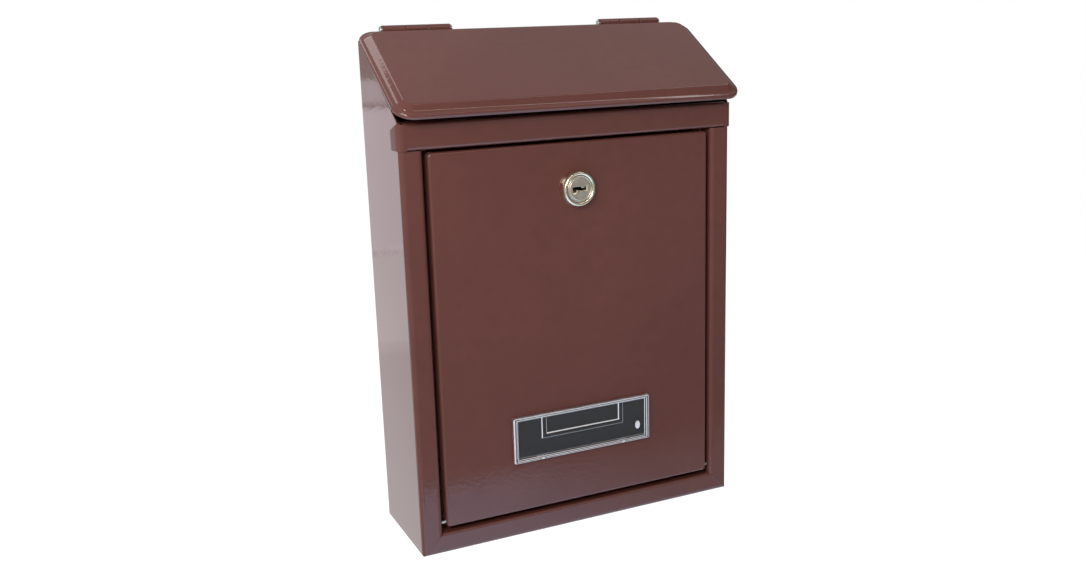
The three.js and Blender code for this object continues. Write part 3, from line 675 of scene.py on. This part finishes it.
def lid_shell():
    rim, top = LID["skirt"], LID["skirt"] + LID["rise"]
    press = [(0, 0), (0, rim - 0.2), (3.4, rim + 0.7), (6.6, top), (14, top)]
    outside = filleted(press, [1.5, 5.0, 2.2])
    under = top - SHEET
    inner = [(SHEET, 0), (SHEET, rim - SHEET - 0.2), (3.6, rim - SHEET + 0.6), (7.1, under), (14, under)]
    inside = filleted(inner, [0.7, 5.0, 1.6])
    rings = [tuple(p) for p in reversed(outside)] + [tuple(p) for p in inside]
    half_length = LID["length"] / 2 - LID["inset"]
    shell = ring_body(rings, LID_HALF - LID["inset"], half_length, LID["corner"], steps=14, sharper=0.95)
    moved(shell, Matrix.Translation((0, -LID["rear_gap"] - LID["length"] / 2, -LID["drop"])))
    rear = -LID["rear_gap"]
    straight = LID_HALF - LID["corner"]
    flange = (-LID["drop"] - LID["flange"], LID["drop"])
    join(shell, block((-straight, straight), (rear - SHEET, rear), flange))
    half = HINGE["length"] / 2 + 1.5
    under_rim = rim - LID["drop"] - SHEET - 0.02
    for x in (-HINGE["x"], HINGE["x"]):
        cut(shell, block((x - half, x + half), (rear - 2.6, rear + 1), (-20, under_rim)))
    return moved(shell, LID_TO_BOX)


def knuckle(x, place):
    """One of a hinge's three knuckle spans, counted from its left end."""
    width = HINGE["length"] / 3
    start = x - HINGE["length"] / 2 + place * width
    return start + HINGE["gap"] / 2, start + width - HINGE["gap"] / 2


def curl_outline(points, thickness):
    """A sheet outline along points that already follow their bends."""
    line = [Vector(p) for p in points]
    sides = ([], [])
    for i, point in enumerate(line):
        along = (line[min(i + 1, len(line) - 1)] - line[max(i - 1, 0)]).normalized()
        normal = Vector((-along.y, along.x)) * thickness / 2
        sides[0].append(point + normal)
        sides[1].append(point - normal)
    return sides[0] + sides[1][::-1]


def lid_leaf(x):
    half = HINGE["length"] / 2
    sheet = HINGE["sheet"]
    low = LID["skirt"] - SHEET - LID["drop"] - 0.2 - sheet / 2
    high = LID["skirt"] + LID["rise"] - SHEET - LID["drop"] - 0.3 - sheet / 2
    rear = -LID["rear_gap"]
    radius = HINGE["barrel"] - sheet / 2
    path = filleted([(-3.0, low), (rear - 8, low), (rear - 11, high), (-HINGE["lid"], high)], [1.2, 1.2])
    leaf = prism("X", curl_outline(path, sheet), x - half, x + half)
    start, end = knuckle(x, 1)
    clear = HINGE["barrel"] + 0.5
    for beside in ((x - half - 1, start), (end, x + half + 1)):
        cut(leaf, block(beside, (-clear, 5), (-5, 5)))
    meet = math.degrees(math.asin(low / radius))
    curl = [(-4.5, low)] + arc((0, 0), radius, 180 - meet, -(340 - meet), 30)
    join(leaf, prism("X", curl_outline(curl, sheet), start, end))
    return moved(leaf, LID_TO_BOX)


def wall_leaf(x):
    half = HINGE["length"] / 2
    sheet = HINGE["sheet"]
    rear = -SHEET - WELD_GAP
    middle = rear - sheet / 2
    radius = HINGE["barrel"] - sheet / 2
    offset = middle - HINGE_AXIS.y
    foot = HINGE_AXIS.z - HINGE["wall"]
    under_barrel = HINGE_AXIS.z - HINGE["barrel"] - 0.2
    leaf = block((x - half, x + half), (rear - sheet, rear), (foot, under_barrel))
    meet = math.degrees(math.asin(offset / radius))
    curl = [(middle, HINGE_AXIS.z - 5)]
    curl += arc(HINGE_AXIS.yz, radius, -90 + meet, 330 - meet, 30)
    for place in (0, 2):
        join(leaf, prism("X", curl_outline(curl, sheet), *knuckle(x, place)))
    return leaf


def hinge_pin(x):
    half = HINGE["length"] / 2 + 0.4
    head = HINGE["pin"] + 0.5
    profile = [
        (0, -half - 0.6),
        (head - 0.5, -half - 0.6),
        (head - 0.15, -half - 0.45),
        (head, -half - 0.15),
        (head, -half),
        (HINGE["pin"], -half),
    ]
    whole = profile + [(r, -y) for r, y in reversed(profile)]
    pin = turned(whole, 0)
    upright = Matrix.Translation((x, HINGE_AXIS.y, HINGE_AXIS.z)) @ Matrix.Rotation(math.radians(90), 4, "Z")
    return moved(pin, upright)


def door_pin(side):
    """A headed pin through the body's lip and the door's side return."""
    inner = -DOOR_X[0] - SHEET - 2.2
    outer = OPENING["half"] + SHEET + 0.25
    profile = [
        (0, inner),
        (PIN_RADIUS - 0.25, inner),
        (PIN_RADIUS, inner + 0.3),
        (PIN_RADIUS, outer),
        (PIN_HEAD, outer),
        (PIN_HEAD, outer + 0.6),
        (PIN_HEAD - 0.3, outer + 0.95),
        (0.8, outer + 1.1),
        (0, outer + 1.1),
    ]
    turn = Matrix.Rotation(math.radians(-90 * side), 4, "Z")
    return moved(turned(profile, 0), Matrix.Translation((0, DOOR_PIVOT.y, DOOR_PIVOT.z)) @ turn)


# ---------------------------------------------------------------- door
CLIP_LEVELS = (PLATE_Z[0] + CLIP["inset"], PLATE_Z[1] - CLIP["inset"])
PLATE_CLIPS = [(x, z) for x in (-CLIP["x"], CLIP["x"]) for z in CLIP_LEVELS]


def lock_section(grow=0.0):
    """The lock body's section: a circle with a flat on each side."""
    flat = LOCK_BODY["flat"] + grow
    circle = arc((0, LOCK_Z), LOCK_BODY["radius"] + grow, 0, 360, ROUND_STEPS)[:-1]
    return [(max(-flat, min(flat, x)), z) for x, z in circle]


def door_panel():
    half_height = (DOOR_Z[1] - DOOR_Z[0]) / 2
    middle = (DOOR_Z[1] + DOOR_Z[0]) / 2
    depth = DOOR_Y[1] - DOOR_Y[0]
    outside = filleted([(6, 0), (0, 0), (0, -depth)], [DOOR_EDGE])
    inside = filleted([(SHEET, -depth), (SHEET, -SHEET), (6, -SHEET)], [DOOR_EDGE - SHEET])
    pan = ring_body([tuple(p) for p in outside + inside], DOOR_X[1], half_height, DOOR_CORNER)
    moved(pan, Matrix.Translation((0, FRONT, middle)) @ Matrix.Rotation(math.radians(90), 4, "X"))
    cut(pan, prism("Y", lock_section(0.15), FRONT - 3, FRONT + 3))
    cut(pan, cylinder("X", PIN_RADIUS + 0.08, -100, 100, DOOR_PIVOT.yz))
    reach, thick = CLIP["half"] + 0.3, CLIP["thick"] + 0.3
    for x, z in PLATE_CLIPS:
        cut(pan, block((x - reach, x + reach), (FRONT - 2, FRONT + 2), (z - thick, z + thick)))
    return pan


# ---------------------------------------------------------------- name plate
def plate_frame():
    """The cover's rim and window, with a pocket for the card behind."""
    depth = FRONT - PLATE_Y[0]
    rim = PLATE_RIM
    rings = [
        (rim + 1, depth - 1.1),
        (rim + 0.3, depth - 1.1),
        (rim - 0.1, depth - 0.35),
        (rim - 0.45, depth),
        (0.55, depth),
        (0.1, depth - 0.4),
        (0, depth - 0.8),
        (0, 0.05),
        (1, 0.05),
    ]
    half_height = (PLATE_Z[1] - PLATE_Z[0]) / 2
    middle = (PLATE_Z[1] + PLATE_Z[0]) / 2
    cover = ring_body(rings, PLATE_X[1], half_height, PLATE_CORNER, across=PLATE_RIM_ACROSS)
    moved(cover, Matrix.Translation((0, FRONT, middle)) @ Matrix.Rotation(math.radians(90), 4, "X"))
    back = FRONT - 0.05
    pocket = block((CARD_X[0] - 0.3, CARD_X[1] + 0.3), (back - 0.55, 0), (CARD_Z[0] - 0.3, CARD_Z[1] + 0.3))
    return cut(cover, pocket)


def plate_tongue(cover):
    """Three raised bars that make a U under the upper rim."""
    half, inner = TONGUE["half"], TONGUE["half"] - TONGUE["bar"]
    under_rim = PLATE_Z[1] - PLATE_RIM * PLATE_RIM_ACROSS + 0.3
    upright = (TONGUE["bottom"], under_rim)
    sill = (TONGUE["bottom"], TONGUE["sill"])
    y = (PLATE_Y[0] + TONGUE["front"], PLATE_Y[0] + TONGUE["back"])
    for x, z in (((-half, -inner), upright), ((inner, half), upright), ((-half, half), sill)):
        join(cover, block(x, y, z))


def plate_clips(cover):
    """Four barbed clips through the door's slots."""
    middle = (PLATE_Z[1] + PLATE_Z[0]) / 2
    half, thick = CLIP["half"], CLIP["thick"]
    for x, z in PLATE_CLIPS:
        width = (x - half, x + half)
        tip = z + math.copysign(CLIP["barb"], z - middle)
        leg = block(width, (FRONT - 0.6, FRONT + 3), (z - thick, z + thick))
        barb = block(width, (FRONT + 1.2, FRONT + 2.4), (tip - thick, tip + thick))
        join(cover, leg, barb)


def plate_cover():
    cover = plate_frame()
    plate_tongue(cover)
    plate_clips(cover)
    # the oval bumps are painted white as painted light later on; the first is a painted reflection of a lamp
    for x, z, half_x, half_z, top in PIPS_AND_PAINTED_GLINT:
        oval = [(x + half_x * a, z + half_z * b) for a, b in arc((0, 0), 1.0, 0, 360, 24)[:-1]]
        front = PLATE_Y[0] + top
        join(cover, prism("Y", oval, front, front + PIP_AND_GLINT_DEPTH))
    return cover


def mark_edges(cover):
    """Paints the moulding pips, the painted reflection bump, the steps and rounded edges of the clear cover
    with flat white painted light, and makes its rim hazed.
    """
    face = PLATE_Y[0]
    for polygon in cover.data.polygons:
        x, y, z = polygon.center / MM
        pip_or_glint = any(abs(x - at[0]) < at[2] and abs(z - BASE - at[1]) < at[3] for at in PIPS_AND_PAINTED_GLINT)
        facing = -polygon.normal.y
        step = abs(x) < TONGUE["half"] + 2 and 0.5 < y - face < 1.1 and abs(facing) < 0.3
        rim = y - face < 0.3 and facing > 0.9
        # index 1 is the flat white painted light on the pips, the painted reflection bump and the steps
        polygon.material_index = 1 if step or pip_or_glint and facing > 0.5 else 2 if rim else 0
    # the bevelled edges get the same white painted light
    cover.modifiers["edges"].material = 1


def plate_card():
    return block(CARD_X, CARD_Y, CARD_Z)


# ---------------------------------------------------------------- cam lock, about x = 0, z = LOCK_Z
def lock_housing():
    """The housing's raised ring, domed outside and rolled in to the recessed plug face."""
    door = FRONT - 0.05
    crest, inner = BEZEL["crest"], PLUG_FACE_RADIUS + 0.12
    foot = door - BEZEL["foot"]
    profile = [(PLUG_RADIUS + 0.08, door), (PLUG_RADIUS + 0.08, LOCK_FACE + 1.9), (inner, LOCK_FACE + 1.9)]
    for k in range(BEZEL["steps"] + 1):
        angle = math.radians(90 * k / BEZEL["steps"])
        roll = (crest - (crest - inner) * math.cos(angle), LOCK_FACE + BEZEL["roll"] * (1 - math.sin(angle)))
        profile.append(roll)
    for k in range(1, BEZEL["steps"] + 1):
        angle = math.radians(90 * k / BEZEL["steps"])
        dome = (crest + (BEZEL_RADIUS - crest) * math.sin(angle), foot + (LOCK_FACE - foot) * math.cos(angle))
        profile.append(dome)
    return turned(profile + [(BEZEL_RADIUS, door)], LOCK_Z)


def lock_barrel():
    """The threaded body behind the bezel, with its two flats and the grooves for the wafers."""
    depth, pitch = LOCK_BODY["thread_depth"], LOCK_BODY["thread_pitch"]
    start, end = FRONT - 1.0, LOCK_REAR
    crest, root = LOCK_BODY["radius"], LOCK_BODY["radius"] - depth
    profile = [(PLUG_RADIUS + 0.08, start), (crest, start)]
    y = start + 1.2
    while y + pitch < end - 0.4:
        profile += [(crest, y), (root, y + pitch * 0.35), (root, y + pitch * 0.5), (crest, y + pitch * 0.85)]
        y += pitch
    profile += [(crest, end - 0.4), (crest - 0.4, end), (PLUG_RADIUS + 0.08, end)]
    barrel = turned(profile, LOCK_Z)
    flat = LOCK_BODY["flat"]
    combine(barrel, block((-flat, flat), (start - 5, end + 5), (LOCK_Z - 20, LOCK_Z + 20)), "INTERSECT")
    rim = prism("Y", lock_section(), end - 0.3, end + 1.1)
    cut(rim, cylinder("Y", 6.8, end - 1, end + 5, (0, LOCK_Z)))
    cut(rim, block((-20, 1.9), (end, end + 5), (LOCK_Z - 20, LOCK_Z + 1.9)))
    join(barrel, rim)
    return cut(barrel, block((-6.7, 6.7), (start + 1, end + 5), (LOCK_Z - 2.8, LOCK_Z + 2.8)))


def keyway_outline():
    """A horizontal keyway with the ward that makes it serpentine."""
    z = LOCK_Z
    return [
        (-4.3, z - 2.0),
        (-2.6, z - 2.0),
        (-2.2, z - 0.5),
        (-0.9, z - 0.5),
        (-0.5, z - 1.05),
        (4.3, z - 1.05),
        (4.3, z + 1.05),
        (2.9, z + 1.05),
        (2.5, z + 0.35),
        (1.1, z + 0.35),
        (0.7, z + 1.05),
        (-4.3, z + 1.05),
    ]


def keyway_mouth(face):
    """The countersunk mouth that guides the key in."""
    inner = keyway_outline()
    wide, high = KEYWAY_MOUTH["wide"], KEYWAY_MOUTH["high"]
    outer = [(x * wide, LOCK_Z + (z - LOCK_Z) * high) for x, z in inner]
    levels = [(face - 0.3, outer), (face, outer), (face + KEYWAY_MOUTH["depth"], inner)]
    vertices = [(x, y, z) for y, outline in levels for x, z in outline]
    count = len(inner)
    faces = [list(range(count)), list(range(2 * count, 3 * count))]
    for level in (0, count):
        for i in range(count):
            j = (i + 1) % count
            faces.append([level + i, level + j, level + count + j, level + count + i])
    return solid(vertices, faces)


def lock_plug():
    face = LOCK_FACE + 0.45
    seat = face + 1.4
    tail = extent("lock_plug")[1][1]
    radius = PLUG_FACE_RADIUS
    profile = [(0, face), (radius - 1.35, face), (radius - 1.15, face + 0.16), (radius - 0.75, face + 0.16)]
    profile += arc((radius - 0.35, face + 0.3), 0.35, 190, 160, 8)
    profile += [(radius, seat), (PLUG_RADIUS, seat), (PLUG_RADIUS, LOCK_REAR), (0, LOCK_REAR)]
    plug = turned(profile, LOCK_Z)
    circle = arc((0, 0), 4.0, 0, 360, 48)[:-1]
    double_d = [(x, LOCK_Z + max(-2.9, min(2.9, z))) for x, z in circle]
    join(plug, prism("Y", double_d, LOCK_REAR - 0.5, tail))
    cut(plug, prism("Y", keyway_outline(), face - 2, face + 15), keyway_mouth(face))
    cut(plug, cylinder("Y", 1.75, LOCK_REAR - 6, tail + 1, (0, LOCK_Z)))
    for wafer in range(1, 6):
        _, y, z = extent(f"lock_wafer_{wafer}")
        _, spring_y, _ = extent(f"wafer_spring_{wafer}")
        cut(plug, block((-8, 8), (y[0] - 0.1, y[1] + 0.1), (LOCK_Z - 2.7, LOCK_Z + 2.7)))
        cut(plug, block((-0.35, 4.4), (spring_y[0] - 0.1, spring_y[1] + 0.1), (LOCK_Z + 2.6, z[1] + 0.2)))
    return plug


def hexagon_nut():
    """A nut whose corners are turned down to a cone on the outer face."""
    _, y, z = extent("lock_nut")
    corner = (z[1] - z[0]) / 2
    flat = corner * math.cos(math.pi / 6)
    hexagon = prism("Y", arc((0, LOCK_Z), corner, 0, 360, 6)[:-1], *y)
    wide = corner + 1
    cone = [(0, y[0]), (wide, y[0]), (wide, y[1] - 1.2), (flat - 0.2, y[1]), (0, y[1])]
    combine(hexagon, turned(cone, LOCK_Z), "INTERSECT")
    return cut(hexagon, cylinder("Y", LOCK_BODY["radius"] + 0.06, y[0] - 1, y[1] + 1, (0, LOCK_Z)))


def ring_washer():
    x, y, _ = extent("lock_washer")
    inner = LOCK_BODY["radius"] + 0.2
    return turned([(inner, y[0]), (x[1], y[0]), (x[1], y[1]), (inner, y[1])], LOCK_Z)


def double_d_hole(grow=0.1):
    circle = arc((0, 0), 4.0 + grow, 0, 360, 48)[:-1]
    outline = [(x, LOCK_Z + max(-2.9 - grow, min(2.9 + grow, z))) for x, z in circle]
    return prism("Y", outline, LOCK_REAR - 1, LOCK_REAR + 12)


def stop_washer():
    _, y, _ = extent("lock_stop_washer")
    disc = cylinder("Y", 6.4, *y, (0, LOCK_Z))
    return cut(join(disc, block((-8.3, -5.4), y, (LOCK_Z - 1.6, LOCK_Z + 1.6))), double_d_hole())


def cam():
    """A flat cam with rounded tip."""
    x, y, z = extent("lock_cam")
    half = (z[1] - z[0]) / 2
    tip = 3.0
    outline = arc((0, LOCK_Z), half, 90, 180, 32)
    outline += arc((x[1] - tip, LOCK_Z - half + tip), tip, -90, 90, 8)
    outline += arc((x[1] - tip, LOCK_Z + half - tip), tip, 0, 90, 8)
    return cut(prism("Y", outline, *y), double_d_hole())


def cam_screw():
    _, y, _ = extent("cam_screw")
    seat = y[1] - 2.6
    dome = arc((0, seat - 3.3), 5.9, 51, 39, 8)
    profile = [(0, y[0]), (1.3, y[0]), (1.7, y[0] + 0.4), (1.7, seat), (4.6, seat), (4.6, seat + 0.8)]
    profile += [(r, min(level, y[1])) for r, level in dome[2:-1]] + [(0, y[1])]
    screw = turned(profile, LOCK_Z)
    for x, z in ((2.3, 0.45), (0.45, 2.3)):
        cut(screw, block((-x, x), (y[1] - 1.5, y[1] + 1), (LOCK_Z - z, LOCK_Z + z)))
    return screw


# ---------------------------------------------------------------- put it together
finish_piece(body_wrap(), "folded_body", ENAMEL, "mailbox_body", ["body_wrap"], 0)
finish_piece(back_panel(), "rear_panel", ENAMEL, "mailbox_body", ["back_panel"], 0)
finish_piece(header_rail(), "front_header", ENAMEL, "mailbox_body", ["header_rail"])
finish_piece(lid_shell(), "pressed_lid", ENAMEL, "lid", ["lid_shell"])
finish_piece(door_panel(), "front_door", ENAMEL, "door", ["door_panel"])
for label, side in (("left", -1), ("right", 1)):
    hinge = f"lid_hinge_{label}"
    x = side * HINGE["x"]
    finish_piece(wall_leaf(x), f"{hinge}_fixed_leaf", ENAMEL, "mailbox_body", [f"{hinge}_wall_leaf"])
    finish_piece(lid_leaf(x), f"{hinge}_moving_leaf", ENAMEL, "lid", [f"{hinge}_lid_leaf"])
    finish_piece(hinge_pin(x), f"{hinge}_rod", ZINC, "mailbox_body", [f"{hinge}_pin"], 0)
    pin = f"door_pin_{label}"
    finish_piece(door_pin(side), f"door_pivot_{label}", ZINC, "mailbox_body", [pin], 0)

cover = plate_cover()
plastics = [CLEAR, CLEAR_EDGE_PAINTED_LIGHT, HAZED]
window = finish_piece(cover, "name_window", plastics, "door", ["nameplate_cover"], 0.24)
mark_edges(window)
finish_piece(plate_card(), "name_card", CARD, "door", ["nameplate_card"], 0.08)

finish_piece(lock_housing(), "lock_bezel", CHROME, "door", ["lock_housing"], 0.08)
finish_piece(lock_barrel(), "lock_barrel", ZINC, "door", ["lock_housing"], 0)
finish_piece(ring_washer(), "lock_ring_washer", ZINC, "door", ["lock_washer"], 0.08)
finish_piece(hexagon_nut(), "lock_hexagon_nut", ZINC, "door", ["lock_nut"], 0.15)
finish_piece(lock_plug(), "lock_key_plug", PLUG_METAL, "lock_cylinder", ["lock_plug"], 0.08)
finish_piece(stop_washer(), "lock_turn_stop", ZINC, "lock_cylinder", ["lock_stop_washer"], 0.08)
finish_piece(cam(), "lock_cam_arm", ZINC, "lock_cylinder", ["lock_cam"], 0.15)
finish_piece(cam_screw(), "lock_cam_screw", ZINC, "lock_cylinder", ["cam_screw"], 0.08)

for name, node in frame["nodes"].items():
    if name.startswith(("lock_wafer", "wafer_spring")):
        node.data.materials.clear()
        node.data.materials.append(BRASS if name.startswith("lock_wafer") else ZINC)


# ---------------------------------------------------------------- stage, light and camera
FLOOR_Z = -0.85
FLOOR_X = (-3.0, 3.6)
FLOOR_Y = (-1.68, 4.2)
WHITE = (1.0, 1.0, 1.0)
LILAC = (0.95, 0.9, 1.0)
SKY_BLUE = (0.3, 0.65, 1.0)
ROOM = {"colour": (0.96, 0.97, 1.0), "left": 0.66, "right": 0.2}

# name, place, target, size in metres, power in watts, colour
OBJECT_LIGHTS = [
    ("key", (-0.44, -0.56, 0.37), (0, 0, 0), (0.3, 0.24), 3.35, WHITE),
    ("glint", (-0.8, -0.5, 0.3), (0, -0.07, 0.07), (0.12, 0.12), 0.6, WHITE),
    ("overhead", (1.0, 0.9, 2.6), (1.0, 0.9, 0), (4.0, 3.4), 11, WHITE),
    ("crease_strip", (0.45, -0.42, 0.9), (0, -0.06, 0.05), (1.2, 0.05), 0.8, WHITE),
    ("lamp", (-0.3, -0.42, 1.2), (-0.1, -0.07, 0.12), (0.07, 0.07), 0.5, WHITE),
    ("left_high", (-0.62, 0.8, 1.2), (-0.1, 0, 0.1), (0.5, 1.0), 4, WHITE),
]
FLOOR_LIGHTS = [
    ("rear_floor", (0.3, 3.0, -0.55), (0.3, 3.0, -2), (9.0, 5.6), 104, WHITE),
    ("front_floor", (-0.2, -1.12, -0.55), (-0.2, -1.12, -2), (1.8, 1.75), 17, SKY_BLUE),
]
# cards that the left wall reflects: lower and upper edge in metres, power in watts
LEFT_CARDS = [
    (-0.62, -0.308, 0.008),
    (-0.302, -0.29, 0.001),
    (-0.286, -0.15, 0.02),
    (-0.15, 0.05, 0.08),
    (0.056, 0.09, 0.009),
]
LEFT_CARD = {"x": -0.38, "y": 0.85, "width": 0.13, "aim_x": -0.12, "aim_share": 0.2}
CAMERA = {
    "place": (-0.28995, -0.65053, 0.15963),
    "azimuth": math.radians(-24.55),
    "elevation": math.radians(13.36),
    "roll": math.radians(-1.76),
    "lens": 36.74,
    "sensor": 36,
}


def floor_material():
    g = Graph("pale_floor")
    cloud = g.noise(3.0, 3.0)
    base = g.mix(cloud, tint(248, 248, 249), tint(254, 254, 254))
    g.set(Base_Color=base, Roughness=0.6)
    return g.material


def floor():
    (left, right), (near, far) = FLOOR_X, FLOOR_Y
    corners = [(left, near), (right, near), (right, far), (left, far)]
    mesh = bpy.data.meshes.new("floor")
    mesh.from_pydata([(x, y, FLOOR_Z) for x, y in corners], [], [(0, 1, 2, 3)])
    mesh.materials.append(floor_material())
    item = bpy.data.objects.new("floor", mesh)
    bpy.context.scene.collection.objects.link(item)


def softbox(name, place, target, size, power, colour):
    """A rectangular light, seen in reflections but not by the camera."""
    data = bpy.data.lights.new(name, "AREA")
    data.shape = "RECTANGLE"
    data.size, data.size_y = size
    data.energy = power
    data.color = colour
    light = bpy.data.objects.new(name, data)
    light.location = place
    light.rotation_euler = (Vector(target) - Vector(place)).to_track_quat("-Z", "Y").to_euler()
    light.visible_camera = False
    bpy.context.scene.collection.objects.link(light)
    return light


def world_light(colour, left, right):
    """A soft room, brighter on the left, which the camera sees as plain white."""
    world = bpy.data.worlds.new("studio")
    world.use_nodes = True
    nodes, links = world.node_tree.nodes, world.node_tree.links
    room = nodes["Background"]
    room.inputs["Color"].default_value = (*colour, 1.0)
    direction = nodes.new("ShaderNodeTexCoord")
    split = nodes.new("ShaderNodeSeparateXYZ")
    fade = nodes.new("ShaderNodeMapRange")
    for name, number in (("From Min", -1.0), ("From Max", 1.0), ("To Min", left), ("To Max", right)):
        fade.inputs[name].default_value = number
    links.new(direction.outputs["Generated"], split.inputs[0])
    links.new(split.outputs["X"], fade.inputs["Value"])
    links.new(fade.outputs["Result"], room.inputs["Strength"])
    white = nodes.new("ShaderNodeBackground")
    white.inputs["Color"].default_value = (1.0, 1.0, 1.0, 1.0)
    white.inputs["Strength"].default_value = 1.0
    path = nodes.new("ShaderNodeLightPath")
    choose = nodes.new("ShaderNodeMixShader")
    links.new(path.outputs["Is Camera Ray"], choose.inputs[0])
    links.new(room.outputs[0], choose.inputs[1])
    links.new(white.outputs[0], choose.inputs[2])
    links.new(choose.outputs[0], nodes["World Output"].inputs["Surface"])
    bpy.context.scene.world = world


def left_card(number, low, high, power):
    middle = (low + high) / 2
    place = (LEFT_CARD["x"], LEFT_CARD["y"], middle)
    target = (LEFT_CARD["aim_x"], 0, middle * LEFT_CARD["aim_share"])
    softbox(f"left_card_{number}", place, target, (LEFT_CARD["width"], high - low), power, LILAC)


def camera():
    azimuth, elevation, roll = CAMERA["azimuth"], CAMERA["elevation"], CAMERA["roll"]
    level = math.cos(elevation)
    back = Vector((math.sin(azimuth) * level, -math.cos(azimuth) * level, math.sin(elevation)))
    right = (-back).cross(Vector((0, 0, 1))).normalized()
    up = back.cross(right)
    turned_right = math.cos(roll) * right + math.sin(roll) * up
    turned_up = -math.sin(roll) * right + math.cos(roll) * up
    data = bpy.data.cameras.new("camera")
    data.lens = CAMERA["lens"]
    data.sensor_width = CAMERA["sensor"]
    item = bpy.data.objects.new("camera", data)
    item.matrix_world = Matrix((turned_right, turned_up, back)).transposed().to_4x4()
    item.matrix_world.translation = Vector(CAMERA["place"])
    bpy.context.scene.collection.objects.link(item)
    bpy.context.scene.camera = item


floor()
world_light(ROOM["colour"], ROOM["left"], ROOM["right"])
for light in OBJECT_LIGHTS:
    softbox(*light)
for number, card in enumerate(LEFT_CARDS):
    left_card(number, *card)
for light in FLOOR_LIGHTS:
    softbox(*light)
camera()
bpy.context.scene.view_settings.view_transform = "Standard"
